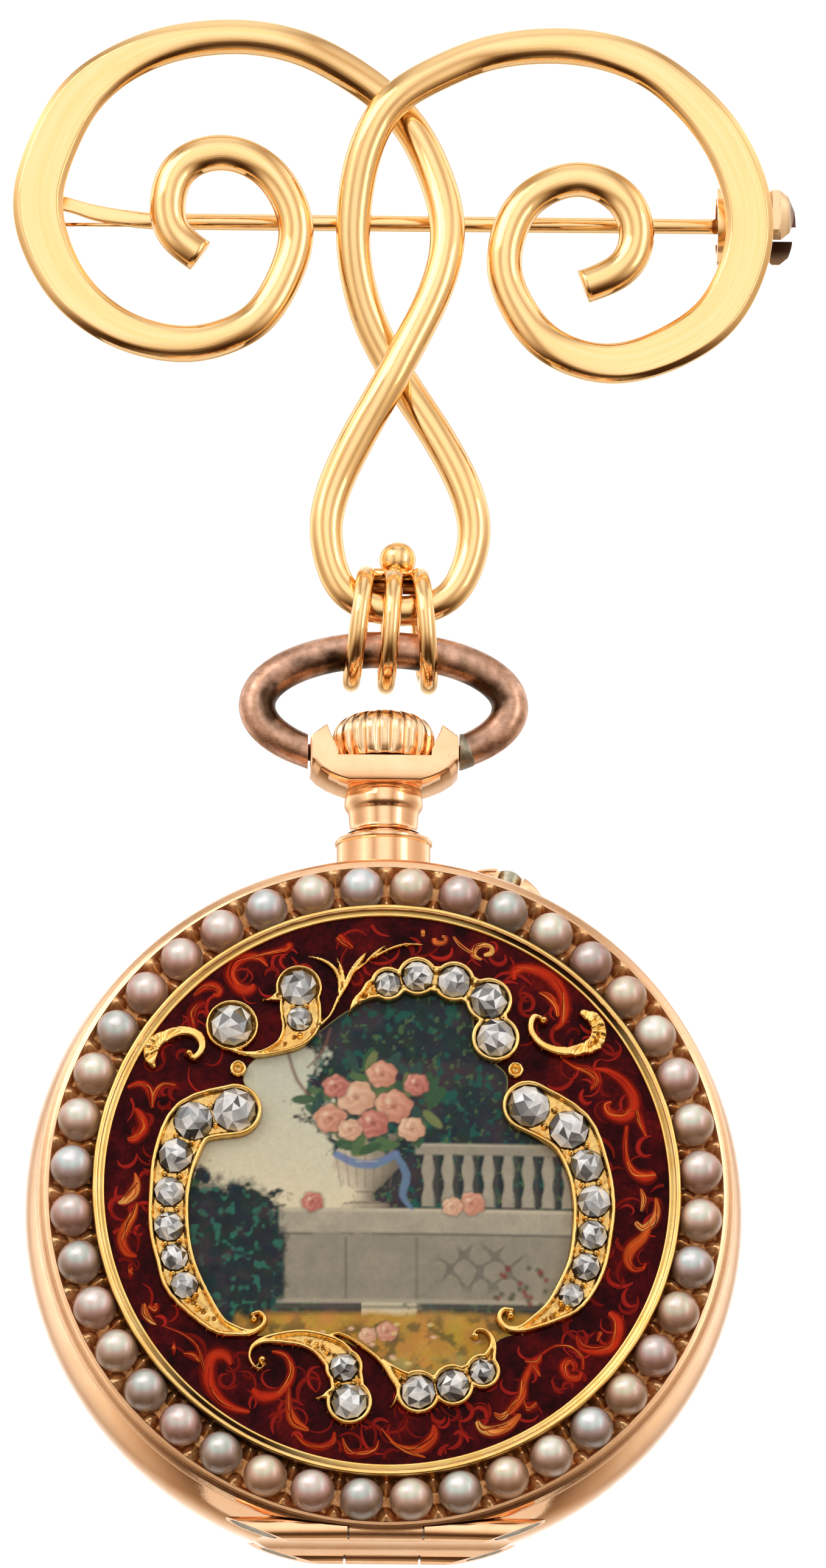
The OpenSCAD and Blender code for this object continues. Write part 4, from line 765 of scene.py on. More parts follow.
def build_pearl_floor():
    """Gold floor between the pearls with its cut grains, prongs and dark recesses."""
    rings, turns, cells, base = 34, 1440, 360 // PEARL_STEP, 2.97
    rr, aa = np.meshgrid(np.linspace(11.4, 13.13, rings), around(turns), indexing="ij")
    x, y = rr * np.cos(aa), rr * np.sin(aa)
    turn = np.degrees(aa) - 90
    phase = (turn % PEARL_STEP) / PEARL_STEP
    off = np.radians(np.minimum(phase, 1 - phase) * PEARL_STEP) * rr
    cell = np.floor((turn % 360) / PEARL_STEP + 0.5).astype(int) % cells
    g = np.random.default_rng(5)
    inner_high = 0.42 + 0.3 * g.random(cells)
    outer_high = 0.38 + 0.3 * g.random(cells)
    wide = 0.2 + 0.1 * g.random(cells)
    shift = 0.06 * (g.random(cells) - 0.5)

    def grains(at, high, more):
        reach = np.hypot(off, (rr - at + shift[cell]) * 0.8) / (wide[cell] + more)
        return high[cell] * clamped(1 - reach) ** 0.75

    lip = 0.26 * clamped((rr - 13.0) / 0.12)
    lip_in = 0.1 * clamped((11.5 - rr) / 0.1)
    h = np.maximum.reduce([grains(11.62, inner_high, 0.05), grains(12.95, outer_high, 0.06), lip, lip_in])
    h += 0.05 * (fractal(x, y, 7, 3, 2) - 0.5)
    shade = clamped(h / 0.12) + 0.45 * fractal(x, y, 5, 9, 3)
    mesh = Mesh()
    mesh.add(on_cover(points(x, y, base + h)), grid_faces(rings, turns),
             mixed((0.42, 0.22, 0.10), (1, 1, 1), shade.ravel()))
    mesh.make("pearl_bed", "cover", [BED_GOLD])


def build_rim():
    """Gold line, polished bevel with painted dark reflections and inner gold line round the enamel."""
    prof = [(11.46, 3.2), (11.46, 3.93), (11.43, 4.0), (11.36, 4.03), (11.29, 4.0), (11.26, 3.97),
            (11.2, 3.94), (11.12, 3.9), (11.09, 3.9), (11.05, 3.92), (11.0, 3.9), (10.98, 3.84),
            (10.97, 3.72)]
    turns = 480
    deg = np.degrees(around(turns))
    # painted reflections: the bevel darkens most in two places round the ring, the outer wall and top less
    dark_reflection = np.exp(-((deg - 52) / 24) ** 2) + 0.8 * np.exp(-((deg - 236) / 22) ** 2) + 0.3
    dark_reflection = clamped(dark_reflection + 0.25 * (fractal(deg / 20, deg * 0, 1, 2) - 0.5))
    part = np.zeros((len(prof), turns))
    part[5:9] = dark_reflection
    part[:2] = clamped(dark_reflection * 0.7 + 0.2)
    part[2] = clamped(dark_reflection - 0.45)
    mesh = Mesh()
    turned(mesh, prof, turns, on_cover, mixed((1, 1, 1), (0.03, 0.02, 0.02), part.ravel()))
    mesh.make("rim_ring", "cover", [SETTING])


def build_enamel():
    """Ground of the enamel round the painted miniature."""
    outline = smooth(MINIATURE, 4, True)
    mesh = Mesh()
    field(mesh, lambda x, y: np.maximum(np.hypot(x, y) - 11.0, -d_polygon(x, y, outline)),
          (-11.1, -11.1, 11.1, 11.1), 0.1, lambda x, y, s: dome(x, y))
    mesh.make("enamel_ground", "cover", [ENAMEL_GROUND], replaces=("enamel_plate",))


R, D, O, G = (0.50, 0.028, 0.008), (0.26, 0.010, 0.007), (0.66, 0.10, 0.015), (0.85, 0.46, 0.12)
# Flames painted on the enamel: colour at the start, colour at the end, then points.
# Columns of the points, in hundredths of a millimetre: x, y, half width.
FLAMES = [
    (R, R, [(-463, 893, 3), (-496, 929, 10), (-544, 933, 12), (-589, 908, 14), (-608, 862, 15),
            (-589, 819, 14), (-559, 798, 17), (-526, 804, 12), (-522, 823, 5)]),
    (R, R, [(-753, 773, 4), (-712, 808, 10), (-675, 815, 12), (-652, 796, 10), (-660, 777, 7),
            (-678, 781, 4)]),
    (D, D, [(-700, 746, 4), (-734, 735, 10), (-757, 704, 12), (-753, 658, 10), (-745, 627, 3)]),
    (D, R, [(-526, 931, 6), (-451, 950, 8), (-399, 962, 10), (-377, 981, 9), (-392, 985, 3)]),
    (R, D, [(-191, 1020, 12), (-161, 993, 12), (-132, 970, 5)]),
    (R, R, [(-1010, 403, 5), (-965, 419, 8), (-931, 403, 10), (-916, 365, 9), (-913, 319, 4)]),
    (R, R, [(-820, 411, 3), (-868, 415, 6), (-898, 388, 7), (-913, 334, 5)]),
    (R, R, [(-980, 319, 5), (-957, 288, 12), (-946, 242, 14), (-980, 199, 13), (-1010, 195, 5)]),
    (O, G, [(-980, 60, 2), (-972, 20, 10), (-985, -20, 16), (-1015, -50, 12), (-1045, -62, 3)]),
    (O, R, [(-970, -60, 3), (-985, -110, 10), (-1015, -160, 15), (-1030, -210, 14), (-1010, -260, 12),
            (-970, -275, 4)]),
    (G, O, [(-995, -100, 2), (-1010, -150, 6), (-1020, -200, 2)]),
    (R, R, [(496, 846, 5), (500, 881, 14), (534, 896, 13), (593, 885, 16), (645, 854, 18), (682, 800, 16),
            (694, 730, 14), (682, 677, 9), (653, 646, 4)]),
    (R, R, [(593, 800, 4), (630, 784, 10), (660, 746, 12), (668, 700, 5)]),
    (R, R, [(682, 530, 4), (735, 499, 8), (787, 484, 12), (816, 445, 12), (794, 407, 5)]),
    (R, R, [(809, 492, 4), (861, 484, 9), (920, 445, 13), (958, 384, 16), (958, 330, 17), (920, 299, 16),
            (868, 314, 14), (854, 345, 9), (876, 360, 5)]),
    (D, R, [(973, 330, 10), (987, 284, 10), (1010, 222, 4)]),
    (R, R, [(935, 268, 5), (928, 191, 7), (935, 122, 8), (965, 76, 12), (1010, 60, 16), (1047, 76, 10)]),
    (O, G, [(987, 14, 3), (1000, -30, 8), (990, -80, 3)]),
    (G, O, [(966, -121, 6), (996, -145, 10), (1033, -121, 12), (1052, -75, 10), (1048, -21, 4)]),
    (O, R, [(1026, -129, 5), (996, -183, 14), (951, -229, 17), (937, -276, 13), (959, -310, 8),
            (996, -306, 5), (1007, -283, 2)]),
    (R, R, [(862, -484, 8), (896, -514, 14), (899, -568, 15), (870, -622, 15), (810, -638, 13),
            (758, -622, 10), (736, -576, 3)]),
    (R, D, [(832, -560, 8), (817, -600, 3)]),
    (R, R, [(758, -722, 4), (743, -746, 10), (706, -742, 12), (687, -703, 12), (710, -680, 10),
            (732, -699, 8), (720, -722, 4)]),
    (R, D, [(762, -715, 4), (758, -661, 4.5), (713, -626, 4.5), (654, -622, 4), (594, -661, 4),
            (550, -684, 3)]),
    (R, R, [(535, -684, 3), (580, -684, 12), (600, -660, 3)]),
    (R, R, [(570, -695, 12), (595, -745, 4)]),
    (R, O, [(564, -692, 8), (535, -761, 10), (524, -823, 12), (490, -869, 12), (468, -892, 8)]),
    (O, G, [(416, -890, 3), (445, -906, 10), (475, -884, 6)]),
    (O, G, [(520, -892, 6), (475, -938, 13), (416, -961, 15), (371, -954, 12), (349, -923, 6)]),
    (D, D, [(530, -840, 4), (550, -870, 10), (587, -853, 10)]),
    (O, R, [(-23, -954, 1), (29, -1015, 4), (88, -1038, 10), (140, -1030, 14), (178, -992, 14),
            (185, -961, 10), (180, -940, 4)]),
    (G, G, [(14, -1007, 2), (81, -1046, 5), (152, -1069, 2)]),
    (R, R, [(-605, -709, 5), (-627, -670, 15), (-672, -670, 16), (-694, -716, 18), (-686, -786, 17),
            (-649, -840, 13), (-597, -878, 10), (-530, -894, 5)]),
    (R, R, [(-448, -655, 4), (-396, -670, 8), (-370, -724, 10), (-381, -778, 10), (-426, -824, 12),
            (-486, -832, 16), (-523, -801, 6)]),
    (R, O, [(-381, -794, 5), (-381, -871, 10), (-359, -932, 15), (-300, -967, 4)]),
    (R, R, [(-359, -978, 3), (-314, -1017, 7), (-255, -1032, 9), (-210, -1009, 8), (-203, -971, 3)]),
    (O, G, [(-943, -462, 5), (-939, -500, 10), (-917, -532, 7), (-895, -547, 2)]),
    (R, R, [(-895, -462, 6), (-902, -485, 10), (-925, -470, 4)]),
    (D, D, [(-865, -555, 3), (-790, -586, 4), (-739, -632, 5), (-716, -693, 7), (-709, -740, 5)]),
    (D, R, [(-790, -663, 4), (-753, -670, 9), (-724, -693, 5)]),
    (D, D, [(-173, -994, 4), (-151, -1048, 8), (-99, -1055, 10), (-47, -1040, 8), (-32, -1002, 3)]),
    (G, G, [(377, 946, 5), (407, 957, 8), (407, 981, 6), (377, 989, 7), (348, 977, 8), (340, 946, 7),
            (370, 927, 3)]),
    (G, G, [(258, 1023, 3), (288, 985, 5), (333, 954, 4)]),
    (O, G, [(184, 1015, 7), (191, 996, 8), (221, 996, 6), (232, 1015, 5), (214, 1023, 3)]),
    (G, G, [(133, 1034, 8), (141, 1034, 10), (149, 1034, 8)]),
    (R, R, [(-833, -640, 12), (-828, -640, 15), (-820, -640, 12)]),
    (R, R, [(-1005, -330, 14), (-996, -330, 20), (-986, -330, 14)]),
]


def stroke(mesh, rows, first, last, lift, soft=0.45):
    """A brush stroke on the enamel, darker at its edges; painted light brightens its middle and one side."""
    p = smooth(rows, 7)
    t = tangents(p[:, :2])
    side = points(-t[:, 1], t[:, 0])
    thin = 0.004
    w = np.maximum(p[:, 2], thin)
    w[0] = w[-1] = thin
    across = np.array([-1, -0.55, 0, 0.55, 1])
    # tones across the stroke: darker edges, and painted light on the middle and on one side
    edge = np.array([soft, 0.85, 1.15, 1.0, soft])[None, :, None]
    xy = p[:, None, :2] + side[:, None] * (across[None, :, None] * w[:, None, None])
    d = dome(xy[..., 0], xy[..., 1]) + lift * (1 - 0.55 * across[None] ** 2)
    k = np.linspace(0, 1, len(p))[:, None, None]
    base = np.asarray(first) * (1 - k) + np.asarray(last) * k
    col = base * edge * (0.85 + 0.3 * fractal(xy[..., 0], xy[..., 1], 3, 8, 2))[..., None]
    v = on_cover(np.concatenate([xy, d[..., None]], -1))
    mesh.add(v, grid_faces(len(p), len(across), False), col.reshape(-1, 3))


def small_curl(g, x, y):
    """A short bent stroke that starts at x, y and stays on the enamel."""
    steps = 6
    turn, head, bend = g.choice([-1, 1]), TAU * g.random(), 1.2 + 1.6 * g.random()
    length, width = 0.7 + 1.1 * g.random(), 0.04 + 0.07 * g.random()
    rows = []
    for i in range(steps):
        rows.append((x, y, width * math.sin(math.pi * (i + 0.5) / steps)))
        x += length / 5 * math.cos(head)
        y += length / 5 * math.sin(head)
        head += turn * bend / 5 * (1 + i / 3)
        if math.hypot(x, y) > 10.85:
            break
    return rows


def build_flames():
    """Faint small curls in the ground, then the flames, each with a dark halo and fine hairs."""
    hairs = [(0.8, 0.3, 0.05), O, O, (0.3, 0.012, 0.006), (0.1, 0.003, 0.003)]
    halo = np.array(D) * 0.7
    mesh = Mesh()
    g = np.random.default_rng(77)
    outline = smooth(MINIATURE, 3, True)
    for _ in range(230):
        r, q = 8.6 + 2.1 * g.random(), TAU * g.random()
        x, y = r * math.cos(q), r * math.sin(q)
        if d_polygon(np.array([x]), np.array([y]), outline)[0] < 0.6:
            continue
        rows = small_curl(g, x, y)
        if len(rows) < 3:
            continue
        tone = np.array([0.26, 0.012, 0.008]) * (0.5 + 1.0 * g.random())
        stroke(mesh, rows, tone, tone, 0.006, 0.7)
    for first, last, rows in FLAMES:
        p = np.array(rows) / 100
        stroke(mesh, p * [1, 1, 2.1], halo, halo, 0.006, 0.6)
        stroke(mesh, p * [1, 1, 1.35], first, last, 0.014)
        t = tangents(p[:, :2])
        side = points(-t[:, 1], t[:, 0])
        for hair in hairs:
            a = int(g.integers(0, max(1, len(p) - 3)))
            b = int(min(len(p), a + g.integers(3, 6)))
            off = (g.random(b - a) - 0.5) * 1.5 * p[a:b, 2] + (g.random() - 0.5) * 0.9 * p[a:b, 2]
            xy = p[a:b, :2] + side[a:b] * off[:, None]
            width = (0.012 + 0.022 * g.random()) * np.sin(np.pi * (np.arange(b - a) + 0.5) / (b - a))
            tone = np.array(hair) * (0.7 + 0.4 * g.random())
            stroke(mesh, np.column_stack([xy, width]), tone, tone, 0.022, 0.9)
    mesh.make("enamel_flames", "cover", [FLAME])


# Settings and stones
def setting(name, box, sdf, stones, replaced, grains=(), pits=(), leaf=None, wide=0.2):
    """Gold setting: bright rail along the edge, darker floor, seats for stones, cut grains and pits."""
    top, floor, step = 0.43, 0.17, 0.045

    def surface(x, y, s):
        rail = [-0.03, 0.26, top - 0.03, top, top - 0.02, floor]
        h = np.interp(-s, [0, 0.03, 0.06, 0.1, wide - 0.02, wide + 0.05], rail)
        h = h + 0.05 * (fractal(x, y, 6, 4, 2) - 0.5) * (h < 0.25)
        for stone in stones:
            q = d_disc(x, y, stone)
            h = np.where(q < 0.02, np.interp(q, [-0.1, -0.02, 0.02], [0.04, 0.06, 0.2]), h)
        for px, py, r in pits:
            q = np.hypot(x - px, y - py)
            h = np.where(q < r, np.minimum(h, 0.03 + 0.1 * q / r), h)
        h = np.maximum(h, near_points(x, y, grains))
        return dome(x, y) + (leaf(x, y, s, h) if leaf else h)

    def colour(x, y, s, d):
        shade = clamped((d - dome(x, y) - 0.04) / 0.26)
        return mixed((0.20, 0.09, 0.03), (1.0, 1.0, 1.0), shade + 0.35 * fractal(x, y, 4, 15, 3))

    mesh = Mesh()
    field(mesh, sdf, box, step, surface, colour)
    mesh.make(name, "cover", [SETTING], replaces=(replaced,))


def between(stones, out, tail=()):
    """Grains beside the gaps of a row of stones, on both sides of the row."""
    rows = []
    p = [np.array(s) for s in (*stones, *tail)]
    for a, b in zip(p[:-1], p[1:]):
        v = b[:2] - a[:2]
        n = np.array([-v[1], v[0]]) / max(np.hypot(*v), 1e-9)
        gap = a[:2] + v * (a[2] / (a[2] + b[2]))
        aside = 0.5 * min(a[2], b[2]) * out * n
        rows += [(*(gap + aside), 0.13, 0.46), (*(gap - aside), 0.13, 0.46)]
    return rows


def union(*fields):
    return lambda x, y: np.minimum.reduce([f(x, y) for f in fields])


def lines(*many):
    return lambda x, y: np.minimum.reduce([d_line(x, y, r) for r in many])


def discs(stones, more=0.0):
    return lambda x, y: np.minimum.reduce([d_disc(x, y, (a, b, c + more)) for a, b, c in stones])


# The two crescents. Grains: x, y, radius, height. Pits: x, y, radius.
CRESCENTS = {
    "left": dict(
        box=(-9.5, -6.3, -4.4, 4.4), stones=LEFT, tail=LEFT_TAIL, seat=(-7.42, -4.72, 0.3), curl=CURLS[0],
        grains=[(-7.35, -4.88, 0.13, 0.42), (-6.98, -5.28, 0.1, 0.4), (*CURLS[0][:2], 0.17, 0.56)],
        pits=[(-7.52, -4.62, 0.12), (-7.12, -5.02, 0.11), (-6.72, -5.32, 0.08)]),
    "right": dict(
        box=(4.1, -6.1, 9.1, 4.7), stones=RIGHT, tail=RIGHT_TAIL, seat=(6.72, -4.88, 0.28), curl=CURLS[1],
        grains=[(6.62, -4.98, 0.12, 0.42), (6.25, -5.22, 0.1, 0.4), (*CURLS[1][:2], 0.18, 0.56)],
        pits=[(6.8, -4.78, 0.11), (6.42, -5.1, 0.1), (6.08, -5.28, 0.07)]),
}
# Grains and pits of the lower setting, and the middles that the acanthus cuts run out from.
LOWER_GRAINS = [(-2.3, -6.62, 0.13, 0.44), (-2.75, -6.35, 0.12, 0.42), (-3.15, -6.2, 0.09, 0.42),
                (0.5, -7.62, 0.1, 0.42), (*CURLS[2][:2], 0.2, 0.56), (*CURLS[3][:2], 0.14, 0.52)]
LOWER_PITS = [(-2.5, -6.45, 0.09), (-2.05, -6.78, 0.08), (-3.0, -6.22, 0.06), (0.62, -7.78, 0.09)]
CUT_MIDDLES = [(-8.75, 5.6), (7.75, 6.3)]


def veins(x, y, s, h):
    """Cuts a vein along each leaf of the plume."""
    at_vein = [np.abs(d_line(x, y, [(a, b, 0.001) for a, b, _ in leaf])) for leaf in LEAVES]
    ridge = np.exp(-(np.minimum.reduce(at_vein) / 0.025) ** 2)
    return np.where(x > -3.1, h - 0.13 * ridge, h)


def carve(x, y, s, h):
    """Cuts the acanthus scrolls, and raises the two dots and the two balls."""
    for cx, cy in CUT_MIDDLES:
        near = np.hypot(x - cx, y - cy)
        cut = 0.5 + 0.5 * np.cos(np.arctan2(y - cy, x - cx) * 11 + 3.2 * near)
        h = np.where(near < 1.0, h - 0.12 * cut ** 2 * clamped(-s / 0.08), h)
    for dx, dy, r in DOTS:
        q = np.hypot(x - dx, y - dy)
        cup = np.interp(q, [0, 0.12, r - 0.1, r - 0.04, r], [0.12, 0.16, 0.34, 0.36, 0.0])
        h = np.where(q < r + 0.05, cup, h)
    return np.maximum(h, near_points(x, y, [(*ball, 0.6) for ball in BALLS]))


def build_settings():
    for side, c in CRESCENTS.items():
        ribbon = [(x, y, r + 0.27) for x, y, r in c["stones"]] + c["tail"]
        shape = union(lambda x, y: np.minimum(d_line(x, y, ribbon, 4), d_disc(x, y, ribbon[0])),
                      discs([c["curl"]], 0.02))
        setting(f"{side}_crescent", c["box"], shape, c["stones"], f"{side}_setting",
                between(c["stones"], 1.05, [c["seat"]]) + c["grains"], c["pits"])
    rim = 0.26
    setting("top_cluster", (-1.8, 4.9, 5.4, 9.6), union(lines(TOP_BAND), discs(TOP, rim)), TOP, "top_setting",
            between(TOP, 1.15) + [(-0.72, 7.72, 0.12, 0.42), (-0.5, 7.95, 0.1, 0.4)],
            [(-0.88, 7.62, 0.09), (-1.1, 7.4, 0.06)])
    setting("plume", (-7.3, 4.9, 1.7, 10.1),
            union(lines(HOOK, SPUR, *LEAVES), discs([PLUME[0], COLLET], rim)), PLUME + [COLLET],
            "plume_setting",
            between(PLUME, 1.1) + [(-3.4, 6.05, 0.13, 0.42), (-4.35, 7.6, 0.09, 0.44)],
            [(-3.62, 5.98, 0.08), (-3.98, 5.72, 0.07)], leaf=veins, wide=0.13)
    ribbons = lines(FOOT_RIBBON, FOOT_SPUR, BASE_TAIL, BASE_BAND)
    setting("foot_and_base", (-5.7, -9.7, 4.5, -5.4),
            union(ribbons, discs(FOOT + BASE, rim), discs(CURLS[2:])), FOOT + BASE, "lower_setting",
            between(FOOT, 1.15) + between(BASE, 1.15) + LOWER_GRAINS, LOWER_PITS)
    setting("acanthus_and_dots", (-9.7, 4.2, 8.8, 7.5), union(lines(*ACANTHUS), discs(DOTS + BALLS)), (),
            "gold_accents", leaf=carve, wide=0.3)


def strip_faces(inner, outer):
    """Triangles between two rings, each a list of angle and point, taken in the order of their angles."""
    rings = (inner, outer)
    pts = sorted((q, which, i) for which, ring in enumerate(rings) for i, (q, _) in enumerate(ring))
    cur = [max(range(len(ring)), key=lambda i: ring[i][0]) for ring in rings]
    tris = []
    for _, which, i in pts:
        tris.append((inner[cur[0]][1], outer[cur[1]][1], rings[which][i][1]))
        cur[which] = i
    return tris


def build_stones():
    """Rose-cut stones: a girdle, a ring of facets and three top facets, each facet a painted reflection."""
    girdle, mids = 0.13, 6
    g = np.random.default_rng(4)
    mesh = Mesh()
    for x, y, r in LEFT + RIGHT + PLUME + [COLLET] + TOP + FOOT + BASE:
        r = 1.06 * r
        n = int(g.integers(9, 12))
        turn = TAU * g.random()
        base = dome(x, y) + 0.13
        ring = lambda q, far, high: points(x + far * np.cos(q), y + far * np.sin(q), high)
        a = turn + TAU * (np.arange(n) + 0.25 * (g.random(n) - 0.5)) / n
        low = ring(a, r * (0.95 + 0.06 * g.random(n)), np.full(n, base))
        gird = low + [0, 0, girdle]
        b = turn + 0.3 + TAU * (np.arange(mids) + 0.35 * (g.random(mids) - 0.5)) / mids
        far = r * (0.58 + 0.12 * g.random(mids))
        mid = ring(b, far, base + girdle + r * (0.34 + 0.06 * g.random(mids)))
        c = turn + 0.8 + TAU * np.arange(3) / 3
        top = ring(c, r * (0.2 + 0.1 * g.random(3)), np.full(3, base + girdle + r * 0.5))
        ring_a, ring_b, ring_c = (list(zip(q % TAU, p)) for q, p in ((a, gird), (b, mid), (c, top)))
        tris = [tuple(top)] + strip_faces(ring_b, ring_a) + strip_faces(ring_c, ring_b)
        for ti, tri in enumerate(tris):
            tri = np.array(tri)
            nrm = np.cross(tri[1] - tri[0], tri[2] - tri[0])
            if np.linalg.norm(nrm) < 1e-9:
                continue
            if nrm[2] < 0:
                tri = tri[::-1]
            # painted reflections: each facet a random tone, near-white to near-black; top facet mostly light
            u = g.random()
            tone = 0.9 if u < 0.40 else (0.42 if u < 0.72 else (0.16 if u < 0.88 else 0.03))
            if ti == 0:
                tone = 0.95 if u < 0.6 else 0.5
            tone = tone * (0.85 + 0.25 * g.random(3))[:, None]
            mesh.add(on_cover(tri), [[0, 1, 2]],
                     clamped(tone * np.array([1, 1.01, 0.99 + 0.04 * g.random()])))
        # painted shade: a dark skirt round the girdle
        skirt = [[i, (i + 1) % n, n + (i + 1) % n, n + i] for i in range(n)]
        mesh.add(on_cover(np.concatenate([low, gird])), skirt, (0.12, 0.1, 0.08))
    mesh.make("stones_rose_cut", "cover", [STONE], flat=True, replaces=("diamonds",))


# Painted garden
def soft(d, w):
    """1 inside a shape, 0 outside, over an edge of width w."""
    return clamped(0.5 - d / w)


# Roses. Columns: x, y, radius, ink. Each ink is a light and a deep tone.
ROSES = [(-2.2, 2.75, 0.62, 0), (-1.2, 3.6, 0.74, 1), (0.25, 3.25, 0.72, 0), (-0.55, 2.55, 0.6, 2),
         (0.95, 2.35, 0.52, 1), (-2.0, 4.05, 0.5, 2), (-0.2, 4.55, 0.58, 0), (1.15, 4.15, 0.48, 2),
         (-1.45, 2.3, 0.46, 1), (3.3, -0.62, 0.5, 0), (2.55, -0.75, 0.4, 1), (-2.9, -0.6, 0.42, 2),
         (0.0, -5.75, 0.42, 0), (-0.75, -5.9, 0.34, 1)]
INKS = [((0.80, 0.52, 0.42), (0.55, 0.22, 0.18)), ((0.86, 0.66, 0.54), (0.62, 0.34, 0.26)),
        ((0.74, 0.38, 0.34), (0.42, 0.12, 0.12))]
LEAF_TONES = [(0.05, 0.13, 0.08), (0.10, 0.20, 0.10), (0.04, 0.10, 0.10), (0.20, 0.26, 0.12)]
# The urn's half width at shares of its height, from its foot up.
URN = [(0, 0.95), (0.06, 0.95), (0.1, 0.4), (0.2, 0.32), (0.34, 0.75), (0.55, 1.32), (0.78, 1.12),
       (0.86, 0.9), (0.93, 1.28), (1.0, 1.3)]


def paint_garden(x, y):
    """A generic garden still life: an urn of roses on a stone ledge before dark foliage."""
    f = lambda s, k, o=4: fractal(x, y, s, k, o)
    col = mixed((0.80, 0.80, 0.66), (0.60, 0.70, 0.68), (y + 1) / 6 + 0.4 * (f(0.7, 1) - 0.5))

    def over(colour, d, width, share=1.0):
        """Lays a colour inside a distance field, with a soft edge."""
        nonlocal col
        col = mixed(col, colour, soft(d, width) * share)

    def clouded(base, gain, scale, *seeds):
        return np.stack([b + g * f(scale, k) for b, g, k in zip(base, gain, seeds)], -1)

    oval = lambda cx, cy, w, h: np.hypot((x - cx) / w, (y - cy) / h) - 1
    slab = lambda at, half, left: np.maximum(np.abs(y - at) - half, left - x)
    post = lambda at, half, low, high: np.maximum(np.abs(x - at) - half, np.maximum(y - high, low - y))
    flecks = lambda tone, above, gain: clamped((tone - above) * gain)
    stone = lambda k: clouded((0.33, 0.34, 0.31), (0.13, 0.12, 0.11), 1.9, k, k, k)

    over((0.24, 0.40, 0.66), oval(-0.7, 7.1, 0.9, 0.8) + 0.8 * (f(1.4, 3) - 0.5), 0.7, 0.85)

    # foliage behind, darker to the right and upwards
    leafy = f(1.1, 20) * 2.1 + f(4.2, 21) * 0.8 - 1.45
    bank = soft(-(x + 2.4 + 0.35 * (y - 3)) * 0.6 - leafy * 1.1, 0.35)
    left_bank = soft((y - 0.2 + 0.5 * (x + 6.5)) * 0.8 - leafy * 1.2, 0.35) * (x < -1)
    dark = clouded((0.012, 0.025, 0.04), (0.03, 0.04, 0.04), 2.5, 30, 31, 32)
    purple = clouded((0.05, 0.04, 0.06), (0.05, 0.03, 0.04), 2, 33, 34, 35)
    tree = np.maximum(bank, left_bank)
    for colour, share in ((dark, 1.0), (purple, flecks(f(0.8, 36), 0.5, 4) * 0.7),
                          ((0.02, 0.13, 0.12), flecks(f(3.1, 37, 2), 0.64, 12) * 0.85),
                          ((0.10, 0.20, 0.10), flecks(f(4.4, 38, 2), 0.7, 12) * 0.7)):
        col = mixed(col, colour, tree * share)
    # a slender branch over the sky
    for rows, w in (([(-3.9, 5.6, 0.05), (-3.5, 4.3, 0.07), (-2.8, 3.4, 0.05), (-2.4, 2.6, 0.03)], 0.1),
                    ([(-2.2, 6.4, 0.04), (-2.5, 5.5, 0.05), (-3.1, 4.8, 0.03)], 0.08)):
        over((0.22, 0.12, 0.12), d_line(x, y, rows), w, 0.85)
    # balustrade at the right
    over(stone(40) * 0.9, slab(1.55, 0.22, 1.1), 0.1)
    pale = stone(41)
    wide = 0.16 + 0.1 * np.sin(clamped((1.3 - y) / 1.9) * math.pi * 1.6) ** 2
    for bx in np.arange(1.6, 7.6, 0.78):
        over(pale, post(bx, wide, -0.75, 1.34), 0.08)
        over((0.09, 0.1, 0.1), post(bx + 0.3, 0.1, -0.7, 1.3), 0.12, 0.6)
    over((0.52, 0.53, 0.48), slab(1.72, 0.045, 1.1), 0.06, 0.8)
    # the long ledge and the wall under it
    over(stone(42) * 1.12, slab(-1.35, 0.5, -4.2), 0.1)
    over((0.60, 0.60, 0.54), slab(-0.92, 0.07, -4.2), 0.06, 0.85)
    over((0.16, 0.16, 0.15), slab(-1.9, 0.07, -4.2), 0.1, 0.8)
    over(stone(43) * 0.82, slab(-3.25, 1.35, -4.0), 0.1)
    swirl = np.abs(np.sin(5.2 * x + 3 * f(1.1, 44)) + np.sin(4.7 * y + 3 * f(1.3, 45)))
    over((0.17, 0.18, 0.17), np.maximum(oval(3.7, -3.2, 1.9, 0.95), swirl - 0.45), 0.3, 0.75)
    for px in (-4.0, -1.6, 1.15):
        over((0.15, 0.15, 0.14), post(px, 0.05, -4.5, -2.0), 0.1, 0.6)
    over((0.50, 0.50, 0.46), slab(-4.55, 0.1, -4.3), 0.1, 0.6)
    over((0.13, 0.13, 0.12), slab(-4.78, 0.08, -4.4), 0.14, 0.7)
    # ground
    ground = clouded((0.42, 0.25, 0.04), (0.26, 0.18, 0.08), 1.6, 50, 51, 52)
    over(ground, y + 5.0 + 0.25 * (f(1.1, 53) - 0.5), 0.3)
    over((0.10, 0.10, 0.05), y + 5.1 + 1.6 * (f(1.0, 54) - 0.4), 0.6, flecks(f(2.2, 55), 0.5, 6) * 0.7)
    over((0.35, 0.40, 0.20), y + 6.7, 0.6, flecks(f(2.0, 56), 0.4, 5) * 0.7)
    # dark bush low on the left
    bush = oval(-6.1, -2.6, 2.0, 2.9) + 0.55 * (f(2.2, 60) - 0.5)
    over(dark * 0.9, bush, 0.25)
    over((0.04, 0.22, 0.18), bush, 0.25, flecks(f(3.3, 61, 2), 0.62, 12) * 0.8)
    over(purple, bush, 0.25, flecks(f(1.2, 62), 0.55, 5) * 0.6)
